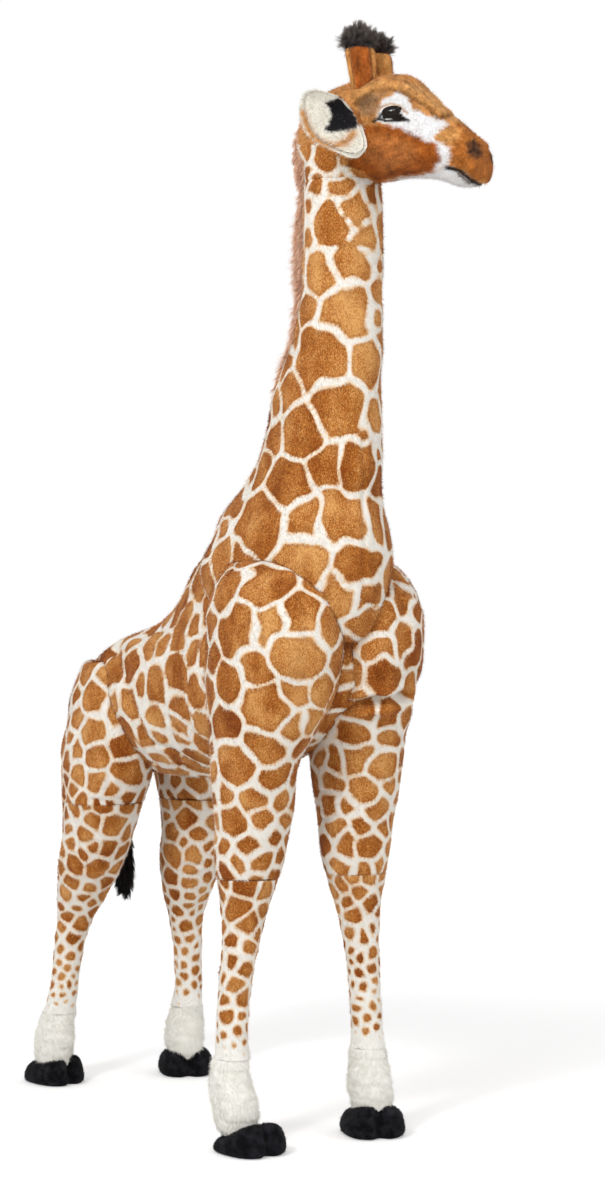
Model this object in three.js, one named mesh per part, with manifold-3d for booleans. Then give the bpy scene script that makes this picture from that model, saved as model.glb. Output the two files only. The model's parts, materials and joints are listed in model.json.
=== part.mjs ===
// A standing plush giraffe: sewn fur covers over fibre filling, on a welded steel frame from hooves to head.
// Millimetres, +Z up. It faces -Y and its left side is +X. The origin is on the floor, under the middle.
import * as THREE from "three";
import { mergeVertices } from "three/addons/utils/BufferGeometryUtils.js";
import Module from "manifold-3d";

const wasm = await Module();
wasm.setup();

// Cloth and seams
const coverThickness = 3; // plush backing with its pressed pile
const seamGap = 0.4; // between pieces that are sewn or pressed together
const cutOverrun = 30; // how far a cutting body runs past what it cuts
const limbSides = 10; // points round a leg
const bodySides = 14; // points round the torso, neck and head
const hoofSides = 18; // points round a hoof
const smallSides = 8; // points round horns, tail and eyes
const rodSides = 8; // points round a steel rod

// Torso. Its rear end is measured from the middle of the front hooves, as every place along Y is.
const torso = { rumpY: 504, chestY: -106, halfWidth: 98, height: 276, chestRise: 60, rumpDrop: 70 };
const backDrop = 4; // the back, below the front legs' tops

// Neck, which stands upright in front and widens backwards down to the withers
const neck = { sink: 100, height: 548, axisY: -71, radius: 46 };
const neckBase = { y: 33, halfWidth: 98, halfLength: 145 };

// Front legs, whose tops are the sewn shoulder panels
const frontLeg = {
  top: 706,
  topOut: 77,
  topY: 0,
  halfWidth: 60,
  halfLength: 90,
  shankOut: 91,
  shankY: 24,
  offset: 8, // of each leg, backwards on the right and forwards on the left
  shankRadius: 18.5,
  seam: 322,
  sock: 106,
};

// Hind legs, whose tops are the haunches; their shanks slant backwards
const hindLeg = {
  drop: 114, // its top, below the front leg's
  topOut: 70,
  topY: 408,
  halfWidth: 58,
  halfLength: 96,
  shankOut: 91,
  shankY: 492,
  offset: 18,
  shankRadius: 19.5,
  seam: 388,
  sock: 96,
};

// Hooves, flat underneath and cloven in front
const hoof = { halfWidth: 37, halfLength: 43, height: 42, cleft: 9 };
const hoofRoom = { widthShare: 0.84, lengthShare: 0.74 };
const hoofPlace = { frontY: 0, frontOffset: -7, hindY: 501, hindOffset: 17 };
const hoofTurn = { frontRight: 2, frontLeft: -16, hindRight: 10, hindLeft: -22 }; // degrees about +Z

// Head, measured from the neck's axis; it stands turned to its own left
const headTurn = 28.7; // degrees about +Z
const head = { back: 52, snout: 192, halfWidth: 51, height: 124, sink: 3 };
const muzzle = { drop: 16 }; // the chin, below the jaw

// Horns, eyes and ears, on the head. An eye and an ear rise so far above the jaw.
const horn = { halfSpacing: 22, forward: 38, lean: 8, root: 34, rise: 31, baseRadius: 16.5, topRadius: 14 };
const hornTuft = { radius: 16.5, height: 35 };
const eye = { forward: 91, rise: 73, radius: 10.5, dome: 6, shankRadius: 3, shankLength: 14 };
const eyeYaw = 12; // degrees that an eye looks forward
const washer = { radius: 8, thickness: 2 };
const washerSeat = 0.8; // from the inside of the cover
const ear = { forward: 50, rise: 75, length: 84, halfWidth: 36, thickness: 6, lining: 3 };
const earBend = { cup: 18, curl: -6 };
const earAim = { back: 28, droop: 25 }; // degrees

// Mane and tail
const mane = { halfThickness: 6, depth: 18, sink: 4, length: 350, crestRise: 88 };
const maneSteps = { neck: 10, nape: 4 };
const tail = { rootRadius: 8, rootDrop: 162, sweep: 24, radius: 8, length: 290, tuftLength: 98, tuftRadius: 14 };

// Steel frame, welded up from tube and rod
const spine = { radius: 9, heightShare: 0.493 }; // share of the torso's height
const crossbar = { radius: 8 };
const rod = { radius: 4.5, headReach: 74, clearance: 0.8, bendShare: 0.69 };
const plate = { thickness: 3, share: 0.68 };

const DEGREE = Math.PI / 180;
const SIDES = { right: -1, left: 1 };
const V = (x, y, z) => new THREE.Vector3(x, y, z);
const mix = THREE.MathUtils.lerp;

// Levels, worked up from the front legs
const backTop = frontLeg.top - backDrop;
const bellyBottom = backTop - torso.height;
const neckFoot = backTop - neck.sink;
const neckTop = neckFoot + neck.height;
const jaw = neckTop - head.sink;
const crown = jaw + head.height;
const spineHeight = mix(bellyBottom, backTop, spine.heightShare);
hindLeg.top = frontLeg.top - hindLeg.drop;

function finish(color, roughness, metalness = 0) {
  return new THREE.MeshStandardMaterial({ color, roughness, metalness });
}
const fur = finish(0xb97335, 0.95);
const creamFur = finish(0xefe8da, 0.95);
const blackFur = finish(0x17151a, 0.95);
const maneFur = finish(0x9a6a4c, 0.95);
const fibre = finish(0xf2f1ec, 1);
const steel = finish(0x8d9094, 0.4, 1);
const blackPlastic = finish(0x0c0b0d, 0.12);
const palePlastic = finish(0xe6e6e2, 0.5);

const round = (t) => [Math.cos(t), Math.sin(t)];

// Closed surface through rings. A ring has a centre and two half-axes, and the way on is wide cross long.
// Grow moves the wall and the ends outwards, and through lengthens the surface past both ends instead.
function loft(given, sides, { grow = 0, endGrow = grow, through = 0, outline = round } = {}) {
  const onward = ({ wide, long }) => wide.clone().cross(long).normalize();
  const moved = (ring, by) => ({ ...ring, at: ring.at.clone().addScaledVector(onward(ring), by) });
  const [first, end] = [given[0], given[given.length - 1]];
  const rings = through
    ? [moved(first, -through), ...given, moved(end, through)]
    : [moved(first, -endGrow), ...given.slice(1, -1), moved(end, endGrow)];
  const last = rings.length - 1;
  const points = rings.flatMap(({ at, wide, long }) => {
    const w = wide.clone().setLength(wide.length() + grow);
    const l = long.clone().setLength(long.length() + grow);
    return Array.from({ length: sides }, (_, k) => {
      const [u, v] = outline((2 * Math.PI * k) / sides);
      return at.clone().addScaledVector(w, u).addScaledVector(l, v);
    });
  });
  const faces = [];
  for (let i = 0; i < last; i++) {
    for (let k = 0; k < sides; k++) {
      const a = i * sides + k;
      const b = i * sides + ((k + 1) % sides);
      faces.push(a, b, b + sides, a, b + sides, a + sides);
    }
  }
  for (let k = 1; k < sides - 1; k++) {
    faces.push(0, k + 1, k, last * sides, last * sides + k, last * sides + k + 1);
  }
  return new THREE.BufferGeometry().setFromPoints(points).setIndex(faces);
}

// A three.js geometry as a solid that can be cut
function solid(geometry) {
  const bare = geometry.clone();
  bare.deleteAttribute("normal");
  bare.deleteAttribute("uv");
  const merged = mergeVertices(bare, seamGap / 1000);
  const vertProperties = merged.attributes.position.array;
  const triVerts = new Uint32Array(merged.index.array);
  return new wasm.Manifold(new wasm.Mesh({ numProp: 3, vertProperties, triVerts }));
}

// What is left of a solid after the cuts, without crumbs
function cut(base, ...cutters) {
  const left = cutters.reduce((kept, cutter) => kept.subtract(cutter), base);
  return left.decompose().reduce((best, body) => (body.volume() > best.volume() ? body : best));
}

const join = (...bodies) => bodies.reduce((whole, body) => whole.add(body));

function geometryOf(body) {
  const { vertProperties, triVerts, numProp } = body.getMesh();
  const geometry = new THREE.BufferGeometry();
  geometry.setAttribute("position", new THREE.BufferAttribute(new Float32Array(vertProperties), numProp));
  geometry.setIndex(new THREE.BufferAttribute(new Uint32Array(triVerts), 1));
  geometry.computeVertexNormals();
  return geometry;
}

const giraffe = new THREE.Group();
const headGroup = new THREE.Group();
headGroup.position.y = neck.axisY;
headGroup.rotation.z = headTurn * DEGREE;
giraffe.add(headGroup);

function add(name, body, material, group = giraffe) {
  const mesh = new THREE.Mesh(geometryOf(body), material);
  mesh.name = name;
  group.add(mesh);
}

// Level rings stack upwards, for legs and neck; upright rings follow each other forwards, for torso and head
const levelRing = (x, y, z, halfWidth, halfLength) => ({
  at: V(x, y, z),
  wide: V(halfWidth, 0, 0),
  long: V(0, halfLength, 0),
});
const uprightRing = (y, bottom, top, halfWidth) => ({
  at: V(0, y, (bottom + top) / 2),
  wide: V(halfWidth, 0, 0),
  long: V(0, 0, (top - bottom) / 2),
});

// Straight runs of rod through a few points, each ring square to the way through it
function rodAlong(points, radius, grow = 0) {
  const rings = points.map((at, i) => {
    const before = points[Math.max(i - 1, 0)];
    const after = points[Math.min(i + 1, points.length - 1)];
    const way = after.clone().sub(before).normalize();
    const across = Math.abs(way.x) > Math.abs(way.y) + Math.abs(way.z) ? V(0, 1, 0) : V(1, 0, 0);
    const long = way.clone().cross(across).normalize().multiplyScalar(radius);
    const wide = long.clone().cross(way).normalize().multiplyScalar(radius);
    return { at, wide, long };
  });
  return solid(loft(rings, rodSides, { grow }));
}

// A block on one side of a level, for parting a cover at a seam
function block(centre, size) {
  const geometry = new THREE.BoxGeometry(size.x, size.y, size.z);
  geometry.translate(centre.x, centre.y, centre.z);
  return solid(geometry);
}

// Torso
// Each row: share of the way from rump to chest, of the half width, of the chest's rise, of the rump's drop
const torsoShares = [
  [0, 0.3, 1.5, 2.15],
  [0.025, 0.62, 0.85, 1.8],
  [0.09, 0.92, 0.27, 1.45],
  [0.19, 1.04, 0.05, 1.1],
  [0.34, 1.02, 0, 0.66],
  [0.5, 1, 0.12, 0.32],
  [0.66, 1, 0.36, 0.1],
  [0.8, 0.98, 0.6, 0.04],
  [0.91, 0.9, 0.84, 0.16],
  [0.97, 0.7, 1.15, 0.5],
  [1, 0.4, 1.7, 1],
];
const torsoRings = torsoShares.map(([along, widthShare, belowShare, aboveShare]) => {
  const bottom = bellyBottom + torso.chestRise * belowShare;
  const top = backTop - torso.rumpDrop * aboveShare;
  return uprightRing(mix(torso.rumpY, torso.chestY, along), bottom, top, torso.halfWidth * widthShare);
});
const torsoShape = (grow) => solid(loft(torsoRings, bodySides, { grow }));

// Neck. Each row: share of the height, of the way from the base's place to the axis, and of how much
// wider and longer than the top it is.
const neckShares = [
  [0, 0, 0.5, 0.6],
  [0.06, 0, 0.86, 0.92],
  [0.18, 0, 1, 1],
  [0.25, 0.06, 0.85, 0.91],
  [0.315, 0.175, 0.56, 0.786],
  [0.38, 0.42, 0.4, 0.59],
  [0.446, 0.553, 0.27, 0.47],
  [0.58, 0.687, 0.135, 0.36],
  [0.643, 0.835, 0.077, 0.21],
  [0.707, 0.93, 0.04, 0.087],
  [0.78, 0.99, 0.01, 0.01],
  [1, 1, 0, 0],
];
const neckRings = neckShares.map(([upShare, axisShare, widthShare, lengthShare]) =>
  levelRing(
    0,
    mix(neckBase.y, neck.axisY, axisShare),
    mix(neckFoot, neckTop, upShare),
    mix(neck.radius, neckBase.halfWidth, widthShare),
    mix(neck.radius, neckBase.halfLength, lengthShare),
  ),
);
const neckShape = (grow, through = 0) => solid(loft(neckRings, bodySides, { grow, endGrow: 0, through }));

// Legs. Each row: share of the leg's height, of the way out and back to the shank, of width and of length.
const thighShares = {
  front: [
    [0.476, 0.05, 0.85, 0.64, 0.43],
    [0.55, 0, 0.7, 0.74, 0.51],
    [0.666, 0, 0.4, 0.83, 0.69],
    [0.765, 0, 0.15, 0.95, 0.88],
    [0.864, 0, 0, 1, 1],
    [0.94, 0, 0, 0.88, 0.87],
    [0.98, 0, 0, 0.62, 0.62],
    [1, 0, 0, 0.3, 0.3],
  ],
  hind: [
    [0.51, 0.15, 0.4, 0.72, 0.5],
    [0.588, 0.15, 0.18, 0.78, 0.57],
    [0.655, 0.1, 0.07, 0.87, 0.66],
    [0.73, 0, 0, 0.95, 0.86],
    [0.81, 0, 0, 1, 1],
    [0.9, 0, 0, 0.97, 0.9],
    [0.96, 0, 0, 0.78, 0.7],
    [1, 0, 0, 0.4, 0.38],
  ],
};
const shankShares = {
  front: [
    [0.013, 1, 0.3, 0.9, 1.1],
    [0.055, 1, 0.55, 1.25, 1.6],
    [0.125, 1, 1, 1.22, 1.5],
    [0.16, 0.95, 1, 1.03, 1.12],
    [0.24, 0.72, 1, 0.98, 0.98],
    [0.312, 0.5, 1, 1.08, 1.08],
    [0.364, 0.3, 1, 1.22, 1.22],
    [0.425, 0.12, 0.93, 1.65, 1.65],
  ],
  hind: [
    [0.0155, 1, 1, 0.9, 1.1],
    [0.065, 1, 1, 1.2, 1.5],
    [0.145, 0.95, 0.97, 1.15, 1.35],
    [0.185, 0.9, 0.92, 1, 1.05],
    [0.28, 0.7, 0.87, 0.98, 0.98],
    [0.35, 0.48, 0.82, 1.12, 1.12],
    [0.385, 0.35, 0.76, 1.25, 1.3],
    [0.425, 0.25, 0.66, 1.6, 1.68],
  ],
};

function legRings(leg, kind, side) {
  const place = (outShare, backShare, upShare, halfWidth, halfLength) =>
    levelRing(
      side * mix(leg.topOut, leg.shankOut, outShare),
      mix(leg.topY, leg.shankY - side * leg.offset, backShare),
      leg.top * upShare,
      halfWidth,
      halfLength,
    );
  const shank = shankShares[kind].map(([up, out, back, w, l]) =>
    place(out, back, up, leg.shankRadius * w, leg.shankRadius * l),
  );
  const thigh = thighShares[kind].map(([up, out, back, w, l]) =>
    place(out, back, up, leg.halfWidth * w, leg.halfLength * l),
  );
  return [...shank, ...thigh];
}

// Hooves: squarish rings, notched in front between the toes, with room inside for the foot plate
const plateBottom = coverThickness + seamGap;
const plateTop = plateBottom + plate.thickness;
const squareness = 0.72; // power of the round outline's sine and cosine
const cleftWidthShare = 0.2;
// Each row: share of the hoof's height and of its width and length
const hoofShares = [
  [0, 0.94],
  [0.14, 1],
  [0.55, 0.98],
  [0.82, 0.84],
  [1, 0.55],
];
function clovenOutline(t) {
  const [c, s] = round(t);
  const u = Math.sign(c) * Math.abs(c) ** squareness;
  const v = Math.sign(s) * Math.abs(s) ** squareness;
  const notch = s < 0 ? Math.exp(-((u / cleftWidthShare) ** 2)) * (hoof.cleft / hoof.halfLength) : 0;
  return [u, v + notch];
}
function hoofRings(one, from, to, widthShare, lengthShare) {
  const turned = (vector) => vector.applyAxisAngle(V(0, 0, 1), one.turn * DEGREE);
  return hoofShares.map(([up, size]) => ({
    at: V(one.side * one.leg.shankOut, one.hoofY, mix(from, to, up)),
    wide: turned(V(hoof.halfWidth * size * widthShare, 0, 0)),
    long: turned(V(0, hoof.halfLength * size * lengthShare, 0)),
  }));
}
function hoofShape(one) {
  const whole = solid(loft(hoofRings(one, 0, hoof.height, 1, 1), hoofSides, { outline: clovenOutline }));
  const room = hoofRings(one, coverThickness, hoof.height, hoofRoom.widthShare, hoofRoom.lengthShare);
  return cut(whole, solid(loft(room, limbSides)), one.shape(seamGap));
}
function plateShape(one) {
  const rings = hoofRings(one, plateBottom, plateTop, plate.share, plate.share);
  return solid(loft([rings[0], rings[rings.length - 1]], limbSides));
}

const legs = [
  { name: "front_right", kind: "front", side: SIDES.right, turn: hoofTurn.frontRight },
  { name: "front_left", kind: "front", side: SIDES.left, turn: hoofTurn.frontLeft },
  { name: "hind_right", kind: "hind", side: SIDES.right, turn: hoofTurn.hindRight },
  { name: "hind_left", kind: "hind", side: SIDES.left, turn: hoofTurn.hindLeft },
];
for (const one of legs) {
  const front = one.kind === "front";
  one.leg = front ? frontLeg : hindLeg;
  one.hoofY = front ? hoofPlace.frontY : hoofPlace.hindY;
  one.hoofY -= one.side * (front ? hoofPlace.frontOffset : hoofPlace.hindOffset);
  one.rings = legRings(one.leg, one.kind, one.side);
  one.shape = (grow) => solid(loft(one.rings, limbSides, { grow }));
}

// Steel frame: a spine tube on two crossbars, a rod down each leg to a plate in the hoof, and one up the neck
const frontBarY = frontLeg.topY;
const hindBarY = hindLeg.topY;
const barZ = spineHeight - spine.radius - seamGap - crossbar.radius;
const frame = [];
function addSteel(name, points, radius) {
  frame.push((grow) => rodAlong(points, radius, grow));
  add(name, rodAlong(points, radius), steel);
}
const spineEnds = [hindBarY + spine.radius, frontBarY - spine.radius];
addSteel("spine_tube", spineEnds.map((y) => V(0, y, spineHeight)), spine.radius);
addSteel("front_crossbar", [-frontLeg.topOut, frontLeg.topOut].map((x) => V(x, frontBarY, barZ)), crossbar.radius);
addSteel("hind_crossbar", [-hindLeg.topOut, hindLeg.topOut].map((x) => V(x, hindBarY, barZ)), crossbar.radius);
const neckRodFoot = spineHeight + spine.radius + seamGap;
const neckRodTop = neckTop + rod.headReach;
const neckRodPoints = [
  V(0, frontBarY, neckRodFoot),
  V(0, frontBarY, neckFoot),
  V(0, neck.axisY, mix(neckFoot, neckTop, rod.bendShare)),
  V(0, neck.axisY, neckRodTop),
];
addSteel("neck_rod", neckRodPoints, rod.radius);

for (const one of legs) {
  const [foot, , fetlock, , , , hock] = one.rings.map((ring) => ring.at);
  const points = [
    V(foot.x, foot.y, plateTop + seamGap),
    V(foot.x, foot.y, plateTop + seamGap + 2 * rod.radius),
    fetlock,
    hock,
    V(hock.x, one.leg.topY, barZ - crossbar.radius - seamGap),
  ];
  one.rod = (grow) => rodAlong(points, rod.radius, grow);
  frame.push(one.rod);
  add(`${one.name}_leg_rod`, one.rod(0), steel);
  add(`${one.name}_foot_plate`, plateShape(one), steel);
}
const frameRoom = frame.map((piece) => piece(rod.clearance));

// Torso: cover and filling
const inner = -coverThickness;
const fill = inner - seamGap;
const limbRoom = legs.map((one) => one.shape(seamGap));
add("torso_cover", cut(torsoShape(0), torsoShape(inner), neckShape(seamGap), ...limbRoom), fur);
add("torso_filling", cut(torsoShape(fill), ...frameRoom), fibre);

// Neck: the cover is sewn round the torso's cover and stays open on top, where the head's cover carries on
add("neck_cover", cut(neckShape(0), neckShape(inner, cutOverrun), torsoShape(seamGap), ...limbRoom), fur);
add("neck_filling", cut(neckShape(fill), torsoShape(inner), ...frameRoom), fibre);

// A slab across a leg between two levels
function slab(one, bottom, top) {
  const reach = 4 * (one.leg.halfWidth + one.leg.halfLength);
  const centre = V(one.side * one.leg.topOut, (one.leg.topY + one.leg.shankY) / 2, (bottom + top) / 2);
  return block(centre, V(reach, reach, top - bottom));
}

// Legs: an upper and a lower cover sewn together above the knee, a sock, a hoof and the filling in them all
const limits = (leg) => [
  ["sock", creamFur, -cutOverrun, leg.sock - seamGap / 2],
  ["lower_leg_cover", fur, leg.sock + seamGap / 2, leg.seam - seamGap / 2],
  ["upper_leg_cover", fur, leg.seam + seamGap / 2, leg.top + cutOverrun],
];
for (const one of legs) {
  const neighbours = [torsoShape(seamGap), neckShape(seamGap)];
  const skin = cut(one.shape(0), one.shape(inner), ...neighbours, one.rod(rod.clearance));
  for (const [piece, material, bottom, top] of limits(one.leg)) {
    const rest = [slab(one, bottom - one.leg.top, bottom), slab(one, top, top + one.leg.top)];
    add(`${one.name}_${piece}`, cut(skin, ...rest), material);
  }
  const filling = cut(one.shape(fill), torsoShape(inner), neckShape(inner), ...frameRoom);
  add(`${one.name}_leg_filling`, filling, fibre);
  add(`${one.name}_hoof`, hoofShape(one), blackFur);
}

// Head, in its own turned frame: skull and muzzle in one, above a short collar that carries the neck on.
// Each row: share of the way from back to snout, of the half width, of the height from below and from above,
// and of the chin's drop.
const headShares = [
  [0, 0.35, 0.35, 0.35, 0],
  [0.045, 0.7, 0.16, 0.2, 0],
  [0.12, 0.87, 0.04, 0.12, 0],
  [0.25, 0.98, 0, 0.05, 0],
  [0.42, 1, 0, 0, 0],
  [0.575, 0.94, 0.015, 0.008, 0],
  [0.64, 0.87, 0, 0.08, 0],
  [0.7, 0.78, 0, 0.235, 0.1],
  [0.79, 0.67, 0, 0.375, 0.5],
  [0.87, 0.59, 0, 0.51, 1],
  [0.945, 0.54, 0, 0.67, 1],
  [0.985, 0.38, 0, 0.82, 0.5],
  [1, 0.2, 0.03, 0.87, 0],
];
const headRings = headShares.map(([along, width, below, above, chin]) =>
  uprightRing(
    mix(head.back, -head.snout, along),
    jaw + head.height * below - muzzle.drop * chin,
    crown - head.height * above,
    head.halfWidth * width,
  ),
);
const collarTopShare = 0.4;
const collarTop = mix(jaw, crown, collarTopShare);
const collarFoot = neckTop + seamGap;
function collar(grow, foot) {
  const rings = [foot, collarTop].map((z) => levelRing(0, 0, z, neck.radius, neck.radius));
  return solid(loft(rings, bodySides, { grow, endGrow: 0 }));
}
function headShape(grow, foot = collarFoot) {
  return join(solid(loft(headRings, bodySides, { grow })), collar(grow, foot));
}
const underHead = solid(
  loft(
    [neckTop - crown, collarFoot].map((z) => levelRing(0, 0, z, neck.radius, neck.radius)),
    2 * bodySides,
    { grow: coverThickness, endGrow: 0 },
  ),
);
const rodRoom = rodAlong([V(0, 0, neckFoot), V(0, 0, neckRodTop)], rod.radius, rod.clearance);

// Where the side of the head is, and which way it faces, at a place along it and a height
function headSide(forward, height) {
  const along = (head.back + forward) / (head.back + head.snout);
  const i = headShares.findIndex(([share]) => share >= along);
  const [before, after] = [headRings[i - 1], headRings[i]];
  const between = (along - headShares[i - 1][0]) / (headShares[i][0] - headShares[i - 1][0]);
  const halfWidth = mix(before.wide.length(), after.wide.length(), between);
  const halfHeight = mix(before.long.length(), after.long.length(), between);
  const middle = mix(before.at.z, after.at.z, between);
  const step = (2 * Math.PI) / bodySides;
  const turnAt = Math.asin((height - middle) / halfHeight);
  const corner = (k) => round(step * k);
  const k = Math.floor(turnAt / step);
  const [[u0, v0], [u1, v1]] = [corner(k), corner(k + 1)];
  const x = halfWidth * mix(u0, u1, ((height - middle) / halfHeight - v0) / (v1 - v0));
  const facing = V((v1 - v0) * halfHeight, 0, (u0 - u1) * halfWidth).normalize();
  return { at: V(x, -forward, height), facing };
}

// A geometry made for the left side, or its mirror image on the right
function onSide(geometry, side) {
  if (side === SIDES.left) return solid(geometry);
  const mirrored = geometry.clone().scale(-1, 1, 1);
  mirrored.setIndex([...mirrored.index.array].reverse());
  return solid(mirrored);
}

// Turned shape whose axis points the way given, from a profile of [radius, height] points
function turned(profile, at, way, sides) {
  const outline = profile.map(([radius, height]) => new THREE.Vector2(radius, height));
  const geometry = new THREE.LatheGeometry(outline, sides);
  geometry.applyQuaternion(new THREE.Quaternion().setFromUnitVectors(V(0, 1, 0), way));
  return geometry.translate(at.x, at.y, at.z);
}

// Eyes: a domed button on a shank, held inside the cover by a washer
const domeShares = [0, 0.35, 0.65, 0.88, 1];
const eyeSink = coverThickness / 2;
function eyeGeometries(grow) {
  const { at, facing } = headSide(eye.forward, jaw + eye.rise);
  const way = facing.clone().applyAxisAngle(V(0, 0, 1), -eyeYaw * DEGREE);
  const dome = domeShares.map((share) => [
    (eye.radius + grow) * Math.sqrt(1 - share ** 2),
    (eye.dome + grow) * share,
  ]);
  const button = [
    [0, -eye.shankLength - grow],
    [eye.shankRadius + grow, -eye.shankLength - grow],
    [eye.shankRadius + grow, -grow],
    [eye.radius + grow, -grow],
    ...dome.slice(grow > 0 ? 0 : 1),
  ];
  const seat = -coverThickness - washerSeat;
  const ring = [
    [eye.shankRadius + seamGap, seat - washer.thickness],
    [washer.radius, seat - washer.thickness],
    [washer.radius, seat],
    [eye.shankRadius + seamGap, seat],
  ];
  const pocket = [
    [0, seat - washer.thickness - seamGap],
    [washer.radius + seamGap, seat - washer.thickness - seamGap],
    [washer.radius + seamGap, 0],
    [0, 0],
  ];
  const place = at.clone().addScaledVector(way, -eyeSink);
  const make = (profile) => turned(profile, place, way, smallSides);
  return { button: make(button), ring: make([...ring, ring[0]]), pocket: make(pocket) };
}

// Ears: a cupped leaf of cream plush with a lining, hinged where its root is sewn to the head.
// Each row: share of the length, of the half width and of the thickness.
const earShares = [
  [0, 0.12, 0.35],
  [0.08, 0.5, 0.75],
  [0.2, 0.82, 1],
  [0.42, 1, 1],
  [0.62, 0.98, 1],
  [0.8, 0.82, 0.9],
  [0.93, 0.52, 0.7],
  [1, 0.2, 0.4],
];
const liningShare = 0.86;
const earRoot = headSide(ear.forward, jaw + ear.rise);
const rootTilt = ear.halfWidth * earShares[0][1] * Math.sin(earAim.droop * DEGREE);
const earHinge = {
  at: earRoot.at.clone().addScaledVector(earRoot.facing, rootTilt + seamGap),
  axis: V(-earRoot.facing.z, 0, earRoot.facing.x),
};
function earGeometry(width, thickness, lift, from, to) {
  const rings = earShares.map(([along, widthShare, thickShare]) =>
    levelRing(0, lift, mix(from, to, along), width * widthShare, (thickness / 2) * thickShare),
  );
  const geometry = loft(rings, limbSides);
  const place = geometry.attributes.position;
  for (let i = 0; i < place.count; i++) {
    const across = place.getX(i) / ear.halfWidth;
    const along = place.getZ(i) / ear.length;
    place.setY(i, place.getY(i) + earBend.cup * across ** 2 + earBend.curl * along ** 2);
  }
  const outward = earRoot.facing.clone().applyAxisAngle(earHinge.axis, earAim.back * DEGREE);
  const forward = outward.clone().cross(earHinge.axis);
  const upward = earHinge.axis.clone().applyAxisAngle(forward, -earAim.droop * DEGREE);
  outward.applyAxisAngle(forward, -earAim.droop * DEGREE);
  const basis = new THREE.Matrix4().makeBasis(upward, forward, outward);
  return geometry.applyMatrix4(basis).translate(earHinge.at.x, earHinge.at.y, earHinge.at.z);
}

// Horns: stuffed tubes that lean back a little, each with a tuft on top
function hornAxis(z) {
  const rise = z - crown;
  return V(horn.halfSpacing, rise * Math.tan(horn.lean * DEGREE) - horn.forward, z);
}
const hornFoot = crown - horn.root;
const hornTop = crown + horn.rise;
function hornGeometry(grow, through, radiusShares, from, to, radii) {
  const rings = radiusShares.map(([up, share]) => {
    const at = hornAxis(mix(from, to, up));
    const radius = mix(radii[0], radii[1], up) * share;
    return levelRing(at.x, at.y, at.z, radius, radius);
  });
  return loft(rings, smallSides, { grow, endGrow: 0, through });
}
const hornShares = [
  [0, 1],
  [0.5, 0.97],
  [1, 1],
];
const tuftShares = [
  [0, 0.85],
  [0.25, 1],
  [0.6, 1.02],
  [0.85, 0.8],
  [1, 0.45],
];
const tuftFoot = hornTop + seamGap;

const hornRadii = [horn.baseRadius, horn.topRadius];
const tuftRadii = [hornTuft.radius, hornTuft.radius];
for (const [name, side] of Object.entries(SIDES)) {
  const hornPiece = (grow, through) =>
    onSide(hornGeometry(grow, through, hornShares, hornFoot, hornTop, hornRadii), side);
  const tuft = hornGeometry(0, 0, tuftShares, tuftFoot, tuftFoot + hornTuft.height, tuftRadii);
  const hornCover = cut(hornPiece(0, 0), hornPiece(inner, cutOverrun), headShape(seamGap));
  add(`${name}_horn_cover`, hornCover, fur, headGroup);
  add(`${name}_horn_filling`, cut(hornPiece(fill, 0), headShape(seamGap)), fibre, headGroup);
  add(`${name}_horn_tuft`, onSide(tuft, side), blackFur, headGroup);
  const thickness = ear.thickness;
  const liningLift = (thickness + ear.lining) / 2 + seamGap;
  const back = earGeometry(ear.halfWidth, thickness, 0, 0, ear.length);
  const lining = earGeometry(
    ear.halfWidth * liningShare,
    ear.lining,
    liningLift,
    ear.length * (1 - liningShare),
    ear.length * liningShare,
  );
  add(`${name}_ear_back`, onSide(back, side), creamFur, headGroup);
  add(`${name}_ear_lining`, onSide(lining, side), creamFur, headGroup);
  const { button, ring } = eyeGeometries(0);
  add(`${name}_eye`, onSide(button, side), blackPlastic, headGroup);
  add(`${name}_eye_washer`, onSide(ring, side), palePlastic, headGroup);
}
const eyeRoom = Object.values(SIDES).map((side) => onSide(eyeGeometries(seamGap).button, side));
const washerRoom = Object.values(SIDES).map((side) => onSide(eyeGeometries(seamGap).pocket, side));
const headInside = headShape(inner, collarFoot - cutOverrun);
add("head_cover", cut(headShape(0), headInside, underHead, ...eyeRoom), fur, headGroup);
add("head_filling", cut(headShape(fill), underHead, rodRoom, ...eyeRoom, ...washerRoom), fibre, headGroup);

// Mane: a strip of long pile down the back of the neck, which winds to the right as the head turns left
const maneEndShare = 0.45;
const maneCrest = neckTop + mane.crestRise;
function maneStrip(from, to, steps, neckAt) {
  const rings = Array.from({ length: steps + 1 }, (_, i) => {
    const z = mix(from, to, i / steps);
    const { y, halfWidth, halfLength, turn } = neckAt(z);
    const across = V(Math.cos(turn), Math.sin(turn), 0);
    const back = V(-Math.sin(turn), Math.cos(turn), 0);
    const reach = 1 / Math.hypot(back.x / halfWidth, back.y / halfLength);
    const depth = mane.depth * Math.min(1, maneEndShare + (2 * Math.min(i, steps - i)) / steps) + mane.sink;
    return {
      at: V(0, y, z).addScaledVector(back, reach - mane.sink + depth / 2),
      wide: across.multiplyScalar(mane.halfThickness),
      long: back.multiplyScalar(depth / 2),
    };
  });
  return solid(loft(rings, smallSides));
}
function neckAt(z) {
  const i = Math.max(1, neckRings.findIndex((ring) => ring.at.z >= z));
  const [below, above] = [neckRings[i - 1], neckRings[i]];
  const t = (z - below.at.z) / (above.at.z - below.at.z);
  return {
    y: mix(below.at.y, above.at.y, t),
    halfWidth: mix(below.wide.x, above.wide.x, t),
    halfLength: mix(below.long.y, above.long.y, t),
    turn: (headTurn * DEGREE * (z - neckFoot)) / (neckTop - neckFoot),
  };
}
function napeAt(z) {
  const swell = Math.sin(Math.PI * ((z - neckTop) / (maneCrest - neckTop)));
  return { y: 0, halfWidth: neck.radius, halfLength: mix(neck.radius, head.back, swell), turn: 0 };
}
const maneTop = neckTop - seamGap / 2;
add("mane", cut(maneStrip(neckTop - mane.length, maneTop, maneSteps.neck, neckAt), neckShape(seamGap)), maneFur);
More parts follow.
